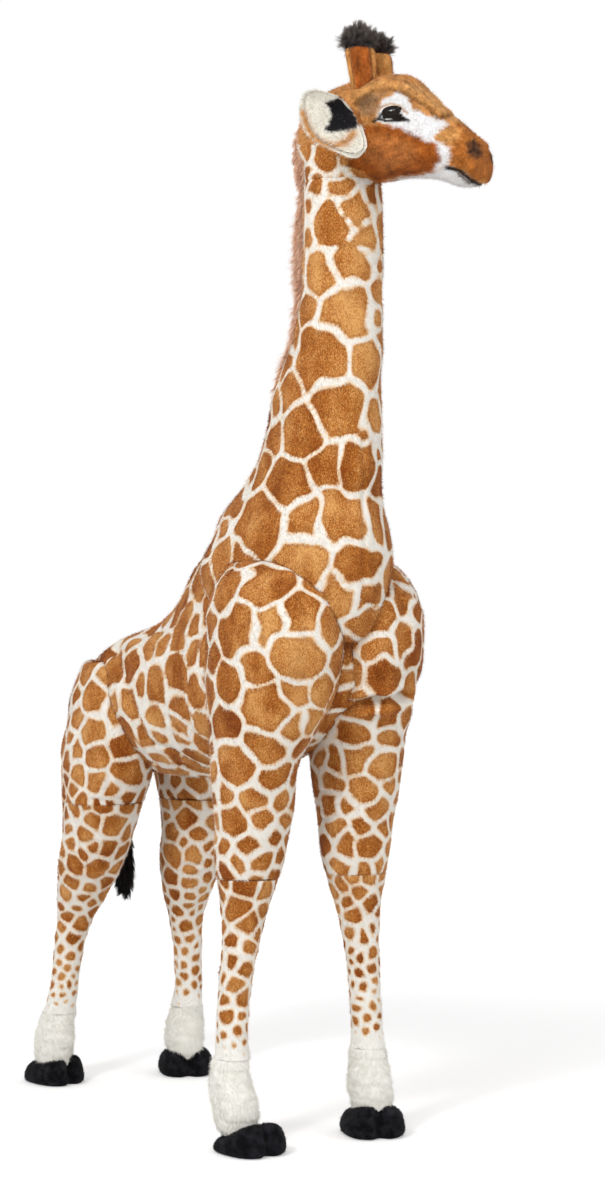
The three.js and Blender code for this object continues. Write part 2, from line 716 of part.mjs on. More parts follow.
const crest = cut(maneStrip(collarFoot, maneCrest, maneSteps.nape, napeAt), headShape(seamGap));
add("mane_crest", crest, maneFur, headGroup);

// Tail: a gathered root on the rump, the stuffed tail and its tuft
const rootY = torso.rumpY + tail.rootRadius + seamGap;
const tailRootZ = backTop - tail.rootDrop;
const tailTip = tailRootZ - tail.length;
const tuftTop = tailTip + tail.tuftLength;
const ball = new THREE.SphereGeometry(tail.rootRadius, limbSides, smallSides).translate(0, rootY, tailRootZ);
add("tail_root", solid(ball), fur);
const tailTop = tailRootZ - tail.rootRadius - seamGap;
const tailShares = [
  [0, 0.45],
  [0.06, 0.9],
  [0.3, 1],
  [0.65, 0.9],
  [1, 0.7],
];
function tailRings(from, to, radius, shares) {
  return shares
    .map(([down, share]) => {
      const z = mix(from, to, down);
      const fallen = (tailTop - z) / (tailTop - tailTip);
      return levelRing(0, rootY - tail.sweep * fallen ** 2, z, radius * share, radius * share);
    })
    .reverse();
}
function tailShape(grow, through) {
  const rings = tailRings(tailTop, tuftTop + seamGap, tail.radius, tailShares);
  return solid(loft(rings, smallSides, { grow, endGrow: 0, through }));
}
const tailTuftShares = [
  [0, 0.5],
  [0.15, 0.85],
  [0.45, 1],
  [0.75, 0.85],
  [1, 0.35],
];
add("tail_cover", cut(tailShape(0, 0), tailShape(inner / 2, cutOverrun)), fur);
add("tail_filling", tailShape(inner / 2 - seamGap, 0), fibre);
const tuftRings = tailRings(tuftTop, tailTip, tail.tuftRadius, tailTuftShares);
add("tail_tuft", solid(loft(tuftRings, smallSides)), blackFur);

// The origin goes to the floor, under the middle of the whole figure
giraffe.updateMatrixWorld(true);
const whole = new THREE.Box3().setFromObject(giraffe, true);
const middle = whole.getCenter(V(0, 0, 0));
giraffe.position.set(-middle.x, -middle.y, -whole.min.z);

export default giraffe;
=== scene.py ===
import json
import math

import bmesh
import bpy
import numpy as np
from mathutils import Matrix, Vector
from mathutils.bvhtree import BVHTree


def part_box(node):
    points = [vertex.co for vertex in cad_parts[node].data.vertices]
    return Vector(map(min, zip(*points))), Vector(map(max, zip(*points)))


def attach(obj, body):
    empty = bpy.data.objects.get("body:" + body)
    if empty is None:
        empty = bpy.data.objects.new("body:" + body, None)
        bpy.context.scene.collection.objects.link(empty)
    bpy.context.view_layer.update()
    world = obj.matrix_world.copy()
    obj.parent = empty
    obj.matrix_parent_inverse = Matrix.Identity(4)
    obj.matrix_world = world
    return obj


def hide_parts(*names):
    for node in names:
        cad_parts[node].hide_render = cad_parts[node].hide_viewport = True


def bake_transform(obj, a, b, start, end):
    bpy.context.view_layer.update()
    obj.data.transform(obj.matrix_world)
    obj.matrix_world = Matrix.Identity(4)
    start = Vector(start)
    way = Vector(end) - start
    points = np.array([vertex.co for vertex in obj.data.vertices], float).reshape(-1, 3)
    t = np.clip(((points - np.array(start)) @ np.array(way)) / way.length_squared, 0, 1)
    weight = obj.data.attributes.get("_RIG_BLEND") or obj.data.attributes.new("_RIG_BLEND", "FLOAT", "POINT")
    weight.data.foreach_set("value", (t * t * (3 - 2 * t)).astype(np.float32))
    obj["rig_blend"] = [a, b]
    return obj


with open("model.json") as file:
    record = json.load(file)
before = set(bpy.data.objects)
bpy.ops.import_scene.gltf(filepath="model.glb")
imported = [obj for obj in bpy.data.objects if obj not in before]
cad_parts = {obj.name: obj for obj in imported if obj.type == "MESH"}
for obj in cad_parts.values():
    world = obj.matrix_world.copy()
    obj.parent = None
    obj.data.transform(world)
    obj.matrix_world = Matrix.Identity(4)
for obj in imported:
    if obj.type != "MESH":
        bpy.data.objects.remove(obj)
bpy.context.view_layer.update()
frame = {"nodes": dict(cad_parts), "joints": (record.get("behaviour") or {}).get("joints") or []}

scene = bpy.context.scene
scene.view_settings.view_transform = "Standard"
MM = 0.001

# Camera: level, at the height of the animal's elbows, in front of its right shoulder,
# with a long lens on a tall picture of 605 by 1200.
PICTURE_WIDE, PICTURE_TALL = 605, 1200
FOCAL = 2561  # in pixels of that picture
SENSOR = 36
camera_at = Vector((-1.617, -2.796, 0.656))
ahead = Vector((0.5195, 0.8545, 0)).normalized()
aside = Vector((ahead.y, -ahead.x, 0))
lens = bpy.data.cameras.new("camera")
lens.sensor_width = SENSOR
lens.lens = FOCAL / PICTURE_TALL * SENSOR
camera = bpy.data.objects.new("camera", lens)
camera.location = camera_at
camera.rotation_euler = (math.pi / 2, 0, -math.atan2(ahead.x, ahead.y))
scene.collection.objects.link(camera)
scene.camera = camera


def sight(px, py):
    """The way from the camera through a place in the picture."""
    right, up = (px - PICTURE_WIDE / 2) / FOCAL, (PICTURE_TALL / 2 - py) / FOCAL
    return (ahead + aside * right + Vector((0, 0, up))).normalized()


def seen(points):
    """Where in the picture the camera sees an array of points."""
    away = points - np.array(camera_at)
    depth = away @ np.array(ahead)
    return np.stack([
        PICTURE_WIDE / 2 + FOCAL * (away @ np.array(aside)) / depth,
        PICTURE_TALL / 2 - FOCAL * away[:, 2] / depth,
    ], axis=1)


# Steel frame: a spine tube on two crossbars, a rod down each leg to a plate in the hoof and one up the
# neck, welded and left bare inside the filling. The CAD nodes stay, in brushed and slightly heat-tinted steel.
def new_material(name, **values):
    """A material with its shader, whose inputs get the given values. Their names have _ for a space."""
    made = bpy.data.materials.new(name)
    made.use_nodes = True
    shader = made.node_tree.nodes["Principled BSDF"]
    for key, value in values.items():
        shader.inputs[key.replace("_", " ")].default_value = value
    return made, made.node_tree, shader


def node(tree, kind, values={}, **settings):
    """A shader node with the values of its inputs, by name or number, and its properties."""
    made = tree.nodes.new(kind)
    for key, value in values.items():
        made.inputs[key].default_value = value
    for key, value in settings.items():
        setattr(made, key, value)
    return made


def noise_field(tree, scale, detail=3.0, stretch=(1, 1, 1)):
    """Noise on object coordinates, scale in waves per metre."""
    where = node(tree, "ShaderNodeTexCoord")
    turn = node(tree, "ShaderNodeMapping", {"Scale": stretch})
    made = node(tree, "ShaderNodeTexNoise", {"Scale": scale, "Detail": detail})
    tree.links.new(where.outputs["Object"], turn.inputs["Vector"])
    tree.links.new(turn.outputs["Vector"], made.inputs["Vector"])
    return made.outputs["Fac"]


def ramp(tree, given, *stops):
    """Colours along a value: stops are (place, (r, g, b))."""
    made = node(tree, "ShaderNodeValToRGB")
    bar = made.color_ramp
    while len(bar.elements) < len(stops):
        bar.elements.new(0.5)
    for element, (place, colour) in zip(bar.elements, stops):
        element.position = place
        element.color = (*colour, 1)
    tree.links.new(given, made.inputs["Fac"])
    return made.outputs["Color"]


def bump(tree, shader, height, distance):
    made = node(tree, "ShaderNodeBump", {"Distance": distance, "Strength": 1})
    tree.links.new(height, made.inputs["Height"])
    tree.links.new(made.outputs["Normal"], shader.inputs["Normal"])


def refinish(piece, material):
    """Gives a CAD node that stays another finish."""
    for place in piece.material_slots:
        place.material = material


steel, tree, shader = new_material("welded_steel", Metallic=1)
tint = ramp(tree, noise_field(tree, 18), (0.3, (0.2, 0.17, 0.15)), (0.7, (0.42, 0.42, 0.43)))
brushed = ramp(tree, noise_field(tree, 60, stretch=(1, 1, 8)), (0.2, (0.25,) * 3), (0.8, (0.5,) * 3))
tree.links.new(tint, shader.inputs["Base Color"])
tree.links.new(brushed, shader.inputs["Roughness"])
bump(tree, shader, noise_field(tree, 900), 0.3 * MM)
for name, piece in frame["nodes"].items():
    if name.endswith(("_rod", "_plate", "_tube", "_crossbar")):
        refinish(piece, steel)

# Torso: a barrel of printed plush sewn from a belly and two side panels, stuffed firmly round the spine tube.
# It deepens to the rump, and gathers in folds where the shoulders, the haunches and the neck are sewn on.
SKIN_TO_FILLING = 3.4 * MM
front_y = sum(corner.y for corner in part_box("front_crossbar")) / 2
torso_low, torso_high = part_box("torso_filling")
rump_y, chest_y = torso_high.y + SKIN_TO_FILLING, torso_low.y - SKIN_TO_FILLING
TORSO_HALF_WIDTH = 98 * MM
BELLY, BACK = 426 * MM, 702 * MM
CHEST_RISE, RUMP_DROP = 60 * MM, 70 * MM


def fair(rows, steps=3):
    """More rows along a smooth curve through the given ones."""
    rows = np.array(rows, float)
    spans = np.linalg.norm(np.diff(rows, axis=0), axis=1)
    slopes = np.gradient(rows, np.concatenate([[0], np.cumsum(spans)]), axis=0)
    made = []
    for i, h in enumerate(spans):
        for s in np.arange(steps) / steps:
            made.append(
                (2 * s**3 - 3 * s**2 + 1) * rows[i] + (s**3 - 2 * s**2 + s) * h * slopes[i]
                + (3 * s**2 - 2 * s**3) * rows[i + 1] + (s**3 - s**2) * h * slopes[i + 1]
            )
    return np.array(made + [rows[-1]])


def linked(name, mesh):
    made = bpy.data.objects.new(name, mesh)
    scene.collection.objects.link(made)
    return made


def finished(name, bm):
    """The piece that a bmesh has become."""
    mesh = bpy.data.meshes.new(name)
    bm.to_mesh(mesh)
    bm.free()
    return linked(name, mesh)


def settle(piece):
    """Applies a piece's modifiers to its mesh."""
    ready = piece.evaluated_get(bpy.context.evaluated_depsgraph_get())
    mesh = bpy.data.meshes.new_from_object(ready)
    piece.modifiers.clear()
    piece.data = mesh
    mesh.shade_smooth()


def refine(piece, levels):
    finer = piece.modifiers.new("finer", "SUBSURF")
    finer.levels = finer.render_levels = levels
    settle(piece)


def loft(name, rings, sides, levels=2, outline=None):
    """A closed skin through rings, each a centre and two half-axes."""
    bm = bmesh.new()
    swell = 3 / (2 + math.cos(2 * math.pi / sides))  # makes up for what subdivision takes in
    loops = []
    for at, wide, long in rings:
        onward = wide.cross(long).normalized()
        place = Matrix((wide * swell, long * swell, onward)).transposed().to_4x4()
        ring = bmesh.ops.create_circle(bm, segments=sides, radius=1)["verts"]
        if outline:
            for v in ring:
                v.co.x, v.co.y = outline(v.co.x, v.co.y)
        bmesh.ops.transform(bm, matrix=Matrix.Translation(at) @ place, verts=ring)
        loops.append(list(dict.fromkeys(edge for v in ring for edge in v.link_edges)))
    for one, other in zip(loops, loops[1:]):
        bmesh.ops.bridge_loops(bm, edges=one + other)
    for end in (loops[0], loops[-1]):
        bmesh.ops.edgeloop_fill(bm, edges=end)
    bmesh.ops.recalc_face_normals(bm, faces=bm.faces)
    made = finished(name, bm)
    refine(made, levels)
    return made


def numbers(data, key, width=3, kind=float):
    """What each item of a mesh's data holds under a key, one row for each."""
    made = np.empty(len(data) * width, kind)
    data.foreach_get(key, made)
    return made.reshape(-1, width)


def places(piece):
    return numbers(piece.data.vertices, "co")


def facings(piece):
    return numbers(piece.data.vertices, "normal")


def move_to(piece, points):
    piece.data.vertices.foreach_set("co", np.ascontiguousarray(points, np.float32).ravel())
    piece.data.update()


def bvh_of(piece):
    faces = [tuple(p.vertices) for p in piece.data.polygons]
    return BVHTree.FromPolygons([v.co for v in piece.data.vertices], faces)


ANIMAL_AWAY = 3.1  # metres from the camera


def on_skin(skin, px, py, reach=6 * MM):
    """Where the camera's sight meets a skin, or passes within reach of it."""
    way = sight(px, py)
    hit = skin.ray_cast(camera_at, way)[0]
    if hit:
        return hit
    at = camera_at + way * ANIMAL_AWAY
    for _ in range(4):
        near = skin.find_nearest(at)[0]
        if near is None:
            return None
        at = camera_at + way * (near - camera_at).dot(way)
    return near if (near - at).length < reach else None


PUFF_BESIDE, PUFF_WIDTH = 2.4, 1.4  # in widths of the valley


def crease(piece, path, depth=3 * MM, width=5 * MM, puff=1.5 * MM, both=True):
    """A sewn or pinched valley along a path of picture places, with the stuffing puffed up beside it."""
    skin = bvh_of(piece)
    found = [p for p in (on_skin(skin, *spot, reach=15 * MM) for spot in path) if p]
    line = []
    for one, other in zip(found, found[1:]):
        steps = max(1, int((other - one).length / (2 * MM)))
        line += [tuple(one.lerp(other, i / steps)) for i in range(steps)]
    if not line:
        return
    points, normals = places(piece), facings(piece)
    moved = points.copy()
    for flip in ((1, -1) if both else (1,)):
        near = np.full(len(points), np.inf)
        for spot in np.array(line) * (flip, 1, 1):
            near = np.minimum(near, ((points - spot) ** 2).sum(axis=1))
        near = np.sqrt(near)
        rise = puff * np.exp(-(((near - PUFF_BESIDE * width) / (PUFF_WIDTH * width)) ** 2))
        moved += normals * (rise - depth * np.exp(-((near / width) ** 2)))[:, None]
    move_to(piece, moved)


PIXEL = 1.22 * MM  # what a pixel of the picture spans on the animal


def nudge(pieces, px, py, radius, right, down, both=False):
    """Pushes the skins near a place in the picture by so many of its pixels right and down."""
    shift = np.array(aside * right - Vector((0, 0, down))) * PIXEL
    for piece in pieces:
        points = places(piece)
        moved = points.copy()
        for flip in ((1, -1) if both else (1,)):
            far = np.linalg.norm(seen(points * (flip, 1, 1)) - (px, py), axis=1)
            moved += np.exp(-((far / radius) ** 2))[:, None] * shift * (flip, 1, 1)
        move_to(piece, moved)


def ripple(points, size, seed, ways=9):
    """Smooth waves of about that size, from -1 to 1, at each point."""
    rng = np.random.default_rng(seed)
    pitch = rng.normal(size=(ways, 3))
    pitch *= (2 * math.pi / size / np.linalg.norm(pitch, axis=1) * rng.uniform(0.6, 1.5, ways))[:, None]
    return np.sin(points @ pitch.T + rng.uniform(0, 6.28, ways)).sum(axis=1) / math.sqrt(ways)


def rumple(piece, size, height, seed):
    """Small uneven lumps of stuffing under the cloth."""
    points = places(piece)
    move_to(piece, points + facings(piece) * (height * ripple(points, size, seed))[:, None])


def combine(piece, other, operation):
    """Adds another piece to a piece, or takes it out, and does away with the other."""
    step = piece.modifiers.new("combine", "BOOLEAN")
    step.operation, step.solver, step.object = operation, "MANIFOLD", other
    settle(piece)
    bpy.data.objects.remove(other)


def cut_by(piece, *cutters, gap=0.5 * MM):
    """Takes the neighbours' room out of a piece."""
    for cutter in cutters:
        room = cutter.copy()
        room.data = cutter.data.copy()
        scene.collection.objects.link(room)
        move_to(room, places(room) + facings(room) * gap)
        combine(piece, room, "DIFFERENCE")


# Each row: share of the way from rump to chest, of the half width, of the chest's rise, of the rump's drop
TORSO_ROWS = [
    (0.01, 0.28, 1.5, 2.15), (0.03, 0.56, 0.85, 1.85), (0.09, 0.86, 0.27, 1.5), (0.19, 1.01, 0.05, 1.15),
    (0.34, 1.02, 0, 0.74), (0.5, 1, 0.12, 0.44), (0.66, 1, 0.36, 0.22), (0.8, 0.96, 0.8, 0.12),
    (0.88, 0.85, 1.3, 0.2), (0.93, 0.65, 1.7, 0.5), (0.955, 0.35, 2.2, 1),
]


def torso_ring(row):
    along, width, below, above = row
    low, high = BELLY + CHEST_RISE * below, BACK - RUMP_DROP * above
    at = Vector((0, rump_y + (chest_y - rump_y) * along, (low + high) / 2))
    return at, Vector((TORSO_HALF_WIDTH * width, 0, 0)), Vector((0, 0, (high - low) / 2))


torso = loft("torso", [torso_ring(row) for row in fair(TORSO_ROWS)], sides=40)

# Neck: an upright stuffed tube, narrow under the head and spreading backwards and sideways to the withers,
# where it is sewn over the torso. A seam runs down the middle of its front.
neck_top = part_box("neck_cover")[1].z
NECK_FOOT = 602 * MM
NECK_Y, NECK_RADIUS = -71 * MM, 46 * MM
NECK_BASE_Y, NECK_BASE_WIDTH, NECK_BASE_LENGTH = 33 * MM, 98 * MM, 145 * MM
# Each row: share of the height, of the way from the foot's place to the axis, of how much wider and longer
NECK_ROWS = [
    (0, 0, 0.5, 0.6), (0.06, 0, 0.86, 0.92), (0.18, 0, 1, 1.05), (0.25, 0.06, 0.85, 0.97),
    (0.315, 0.175, 0.56, 0.786), (0.38, 0.42, 0.4, 0.59), (0.446, 0.553, 0.27, 0.47),
    (0.58, 0.687, 0.135, 0.36), (0.643, 0.835, 0.077, 0.21), (0.707, 0.93, 0.04, 0.087),
    (0.78, 0.99, 0.01, 0.01), (0.985, 1, 0, 0), (1, 1, -0.025, -0.012),
]
NECK_TUCK = ((0.6 * MM, 1.5 * MM), (6 * MM, 6 * MM), (7 * MM, 30 * MM))  # rise and narrowing, up inside the head


def mix(one, other, share):
    return one + (other - one) * share


def level_ring(x, y, z, wide, long):
    return Vector((x, y, z)), Vector((wide, 0, 0)), Vector((0, long, 0))


def neck_ring(row):
    up, axis, width, length = row
    return level_ring(
        0, front_y + mix(NECK_BASE_Y, NECK_Y, axis), mix(NECK_FOOT, neck_top, up),
        mix(NECK_RADIUS, NECK_BASE_WIDTH, width), mix(NECK_RADIUS, NECK_BASE_LENGTH, length),
    )


neck_rings = [neck_ring(row) for row in fair(NECK_ROWS)]
for rise, narrower in NECK_TUCK:
    at = neck_ring(NECK_ROWS[-1])[0]
    radius = NECK_RADIUS - 1.3 * MM - narrower
    neck_rings.append((at + Vector((0, 0, rise)), Vector((radius, 0, 0)), Vector((0, radius, 0))))
neck = loft("neck", neck_rings, sides=40)

# Legs: an upper and a lower tube of printed plush, sewn together above the knee, and a cream sock below.
# The shoulders and haunches are rounded panels sewn flat on the torso; the shanks are stuffed hard.
LEG_SIZES = {
    "front": {
        "top": 706, "top_out": 77, "top_y": 0, "half_width": 60, "half_length": 90, "shank_out": 91,
        "shank_y": 24, "offset": 8, "shank": 18.5, "seam": 322, "sock": 106,
    },
    "hind": {
        "top": 592, "top_out": 70, "top_y": 408, "half_width": 58, "half_length": 96, "shank_out": 91,
        "shank_y": 492, "offset": 18, "shank": 19.5, "seam": 388, "sock": 96,
    },
}
# Each row: share of the leg's height, of the way out and back to the shank, of width and of length
SHANK_ROWS = {
    "front": [
        (0.013, 1, 0.3, 0.9, 1.1), (0.055, 1, 0.55, 1.25, 1.6), (0.125, 1, 1, 1.22, 1.5),
        (0.16, 0.95, 1, 1.08, 1.16), (0.24, 0.68, 1, 1.03, 1.03), (0.312, 0.4, 1, 1.13, 1.13),
        (0.364, 0.1, 1, 1.3, 1.27), (0.425, -0.15, 0.93, 1.72, 1.7),
    ],
    "hind": [
        (0.0155, 1, 1, 0.9, 1.1), (0.065, 1, 1, 1.2, 1.5), (0.145, 0.95, 0.97, 1.15, 1.35),
        (0.185, 0.9, 0.92, 1, 1.05), (0.28, 0.7, 0.87, 0.98, 0.98), (0.35, 0.48, 0.82, 1.12, 1.12),
        (0.385, 0.35, 0.76, 1.25, 1.3), (0.425, 0.25, 0.66, 1.6, 1.68),
    ],
}
THIGH_ROWS = {
    "front": [
        (0.476, -0.3, 0.8, 0.66, 0.45), (0.55, -0.45, 0.6, 0.77, 0.54), (0.666, -0.45, 0.25, 0.9, 0.75),
        (0.765, -0.5, -0.1, 1.03, 0.94), (0.864, -0.5, -0.35, 1.07, 1.03), (0.94, -0.35, -0.3, 0.92, 0.88),
        (0.98, -0.2, -0.1, 0.62, 0.62), (1, 0, 0, 0.3, 0.3),
    ],
    "hind": [
        (0.51, 0.15, 0.4, 0.72, 0.5), (0.588, 0.15, 0.18, 0.78, 0.57), (0.655, 0.1, 0.07, 0.87, 0.66),
        (0.73, 0, 0, 0.95, 0.84), (0.81, 0, -0.03, 0.98, 0.93), (0.89, 0, -0.06, 0.93, 0.8),
        (0.945, 0, -0.08, 0.74, 0.6), (0.975, 0, -0.08, 0.38, 0.34),
    ],
}
PINCH, SOCK_PINCH = 0.5 * MM, 0.05 * MM  # how far the cloth turns in at the seams above the knee and at the sock
END_INSET, TURN_IN, FLAT, CLEAR = 1.2 * MM, 0.5 * MM, 2.5 * MM, 4 * MM  # the rings that shape a sewn end
# How far a shoulder panel reaches round the chest, as a share of its size, and how much of that at which heights
SHOULDER_REACH, SHOULDER_HEIGHTS, SHOULDER_SHARES = 0.24, (0.47, 0.55, 0.66, 0.69), (0, 1, 1, 0.3)
SOCK_FOOT = {"front_right": 14 * MM, "front_left": 24 * MM, "hind_right": 24 * MM, "hind_left": 24 * MM}
LEGS = {"front_right": -1, "front_left": 1, "hind_right": -1, "hind_left": 1}


def leg_line(name):
    """Rows of height, x, y, half width and half length down a whole leg, in metres."""
    side, kind = LEGS[name], name.split("_")[0]
    size = LEG_SIZES[kind]
    rows = []
    for rows_of, wide, long in (
        (SHANK_ROWS[kind], size["shank"], size["shank"]),
        (THIGH_ROWS[kind], size["half_width"], size["half_length"]),
    ):
        for up, out, back, width, length in rows_of:
            x = side * mix(size["top_out"], size["shank_out"], out)
            y = mix(size["top_y"], size["shank_y"] - side * size["offset"], back)
            rows.append((size["top"] * up, x, y, wide * width, long * length))
    rows = np.array(rows) * MM
    rows[:, 2] += front_y
    return fair(rows, 6)


def leg_part(name, line, low, high, sides, pinch_low, pinch_high):
    """The closed length of a leg between two heights, its cloth turned in so far at its two seams."""
    ends = [(low, END_INSET), (low, pinch_low * 2), (low + TURN_IN, pinch_low), (low + FLAT, 0)]
    tops = [(high - FLAT, 0), (high - TURN_IN, pinch_high), (high, pinch_high * 2), (high, END_INSET)]
    between = [(z, 0) for z in line[:, 0] if low + CLEAR < z < high - CLEAR]
    rings = []
    for z, narrower in ends + between + (tops if pinch_high else []):
        _, x, y, wide, long = (np.interp(z, line[:, 0], line[:, k]) for k in range(5))
        rings.append(level_ring(x, y, z, wide - narrower, long - narrower))
    return loft(name, rings, sides=sides)


uppers, lowers, socks = {}, {}, {}
for name in LEGS:
    size = LEG_SIZES[name.split("_")[0]]
    line = leg_line(name)
    seam, sock = size["seam"] * MM, size["sock"] * MM
    uppers[name] = leg_part(f"{name}_upper_leg", line, seam + 0.2 * MM, line[-1, 0], 40, PINCH, 0)
    lowers[name] = leg_part(f"{name}_lower_leg", line, sock + 0.1 * MM, seam - 0.2 * MM, 24, SOCK_PINCH, PINCH)
    line[:, 3:] += 2 * MM * np.exp(-((line[:, :1] - 60 * MM) / (28 * MM)) ** 2)  # a sock's roomier ankle
    socks[name] = leg_part(f"{name}_sock_cover", line, SOCK_FOOT[name], sock - 0.1 * MM, 24, PINCH, SOCK_PINCH)

for name in ("front_right", "front_left"):
    # The shoulder panels reach round the chest to its middle
    points = places(uppers[name])
    line = leg_line(name)
    middle = np.stack([np.interp(points[:, 2], line[:, 0], line[:, k]) for k in (1, 2)], axis=1)
    away = points[:, :2] - middle
    inner, fore = -LEGS[name] * away[:, 0], -away[:, 1]
    corner = 2 * inner.clip(0) * fore.clip(0) / np.maximum(inner**2 + fore**2, 1e-9)
    height = np.interp(points[:, 2], SHOULDER_HEIGHTS, SHOULDER_SHARES)
    points[:, :2] = middle + away * (1 + SHOULDER_REACH * corner * height)[:, None]
    move_to(uppers[name], points)

# Hooves: short black plush over firm filling and the foot plate, sewn in two toes with a cleft in front
# and flat underneath; the sock's end is sewn into the top.
HOOF_HALF_WIDTH, HOOF_HALF_LENGTH, HOOF_HEIGHT = 37 * MM, 43 * MM, 41 * MM
HOOF_CLEFT, CLEFT_WIDTH, HOOF_SQUARENESS, HOOF_FORE, HOOF_TAPER = 0.33, 0.17, 0.74, 0.03, 0.12
HOOF_ROWS = [
    (0, 0.80), (0.02, 0.9), (0.12, 0.985), (0.35, 1), (0.6, 0.95), (0.82, 0.83), (0.95, 0.62), (1, 0.3),
]
# For each: its turn in degrees and how far its top falls to the heel, where the sock comes lower
HOOVES = {"front_right": (6, 0.5), "front_left": (-16, 0.2), "hind_right": (10, 0.25), "hind_left": (-22, 0.15)}
hooves = {}


def two_toes(u, v):
    x, y = (math.copysign(abs(part) ** HOOF_SQUARENESS, part) for part in (u, v))
    return x, y + HOOF_CLEFT * math.exp(-((x / CLEFT_WIDTH) ** 2)) - HOOF_FORE if v < 0 else y


for name, (turn, fall) in HOOVES.items():
    low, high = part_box(f"{name}_hoof")
    at = (low + high) / 2
    spin = Matrix.Rotation(math.radians(turn), 3, "Z")
    rings = []
    for up, share in fair(HOOF_ROWS, 2):
        long = HOOF_HALF_LENGTH * (share if up < 0.3 else share * (1 - HOOF_TAPER * (up - 0.3)))
        rings.append((
            Vector((at.x, at.y, HOOF_HEIGHT * up)),
            spin @ Vector((HOOF_HALF_WIDTH * share, 0, 0)),
            spin @ Vector((0, long, 0)),
        ))
    hooves[name] = loft(f"{name}_hoof_cover", rings, sides=48, levels=1, outline=two_toes)
    points = places(hooves[name])
    backward = (points - np.array((at.x, at.y, 0))) @ np.array(spin @ Vector((0, 1, 0))) / HOOF_HALF_LENGTH
    points[:, 2] *= 1 - fall * np.interp(backward, (-0.6, 0.3), (0, 1)) * (points[:, 2] > 1 * MM)
    move_to(hooves[name], points)

# Sewn folds and bulges of the body, pressed in where the picture shows them. Those of the torso and of the near
# side are mirrored on the far side. Each row: the piece, how deep, how wide and how puffed up beside it the fold
# is in mm, if it is mirrored too, and its places in the picture.
for piece, depth, width, puff, both, path in (
    (uppers["front_right"], 3, 5, 1.5, True, [(198, 612), (199, 590), (210, 568), (230, 556), (262, 560), (300, 578)]),
    (uppers["front_right"], 6, 4, 3, True, [(285, 566), (300, 578), (318, 590), (335, 602), (345, 612)]),
    (uppers["front_left"], 3, 5, 1.5, False, [(386, 566), (396, 580), (405, 590), (420, 604)]),
    (uppers["front_left"], 13, 5, 7, False, [(321, 709), (345, 704), (375, 701), (402, 697), (412, 694)]),
    (neck, 1.5, 3, 1.5, False, [(363, 440), (363, 500), (363, 560), (363, 600)]),
    (torso, 3, 3.4, 1.5, True, [(160, 622), (152, 650), (158, 690), (172, 722)]),
    (torso, 3, 3.4, 1.5, True, [(184, 640), (178, 670), (186, 706), (196, 736)]),
    (torso, 3, 3.4, 1.5, True, [(166, 716), (182, 731), (198, 748)]),
    (torso, 3, 3.4, 1.5, True, [(148, 738), (172, 748), (199, 764)]),
    (torso, 3, 3.4, 1.5, True, [(150, 762), (175, 764), (197, 774)]),
    (uppers["hind_right"], 2, 3, 1, True, [(64, 797), (95, 800), (131, 794)]),
    (lowers["hind_right"], 2, 3, 1, True, [(66, 846), (92, 842), (120, 847)]),
    (lowers["hind_right"], 2, 3, 1, True, [(64, 870), (90, 866), (112, 871)]),
    (uppers["hind_left"], 2, 3, 1, True, [(163, 803), (188, 806), (212, 801)]),
    (lowers["hind_left"], 2, 3, 1, True, [(176, 834), (195, 831), (212, 834)]),
    (lowers["hind_left"], 2, 3, 1, True, [(172, 862), (192, 866), (208, 862)]),
    (uppers["front_left"], 2, 3, 1, True, [(320, 790), (332, 793), (345, 790)]),
    (uppers["front_left"], 2, 3, 1, True, [(320, 818), (330, 820), (342, 816)]),
    (torso, 6, 11, 2, True, [(116, 652), (124, 680), (134, 712), (146, 740)]),
    (uppers["hind_right"], 2, 4, 1.5, True, [(110, 655), (112, 700), (110, 745), (108, 790)]),
):
    crease(piece, path, depth * MM, width * MM, puff * MM, both)
for piece, seed in ((torso, 3), (neck, 4), *zip(uppers.values(), range(5, 9))):
    rumple(piece, 60 * MM, 0.8 * MM, seed)
for piece, seed in (*zip(lowers.values(), range(9, 13)), *zip(socks.values(), range(9, 13))):
    rumple(piece, 25 * MM, 0.5 * MM, seed)

WRINKLE, WRINKLE_WIDTH = 1.4 * MM, 0.35
for piece in socks.values():
    points = places(piece)
    height = points[:, 2]
    folds = abs(ripple(points * (0.5, 0.5, 3), 50 * MM, 18)) * np.interp(height, (0.03, 0.06, 0.1), (0.5, 1, 0.1))
    inward = WRINKLE * np.exp(-((folds / WRINKLE_WIDTH) ** 2)) * (height < 0.095)
    move_to(piece, points - facings(piece) * inward[:, None])

# The outline, pulled to the picture's. Each row: the pieces, a place in the picture, how far round it they move,
# and how far right and down, all in its pixels.
near_fore, far_fore = ([uppers[f"front_{side}"], lowers[f"front_{side}"]] for side in ("right", "left"))
haunches = [uppers["hind_right"], uppers["hind_left"]]
for pieces, px, py, radius, right, down in (
    ([torso], 155, 616, 28, 3, 8), ([torso, neck], 198, 588, 20, -5, -7), (haunches, 62, 714, 34, 8, 0),
    (haunches, 93, 655, 14, -4, -3), (haunches, 78, 680, 16, 5, 3), ([torso, *haunches], 99, 651, 14, -4, -3),
    ([torso, neck], 202, 570, 18, -5, -1),
):
    nudge(pieces, px, py, radius, right, down, both=True)
for pieces, px, py, radius, right, down in (
    (near_fore, 303, 775, 32, -6, 0), (far_fore, 350, 760, 52, -5.5, 0), (far_fore, 352, 852, 34, -5, 0),
    (far_fore, 408, 732, 18, -5, 0), (far_fore, 416, 692, 17, -7, 0),
    ([lowers["front_right"], socks["front_right"]], 234, 1010, 55, -3.5, 0),
    ([socks["front_right"]], 234, 1090, 50, -3, 0), ([socks["front_right"]], 215, 1128, 22, -2, 3),
    ([lowers["hind_right"], socks["hind_right"]], 60, 1052, 45, -7, 0),
    ([lowers["hind_left"], socks["hind_left"]], 188, 1045, 45, -7, 0),
    ([hooves["hind_right"]], 90, 1070, 22, -5, 0),
):
    nudge(pieces, px, py, radius, right, down)
for name in LEGS:
    cut_by(socks[name], hooves[name], gap=0.3 * MM)

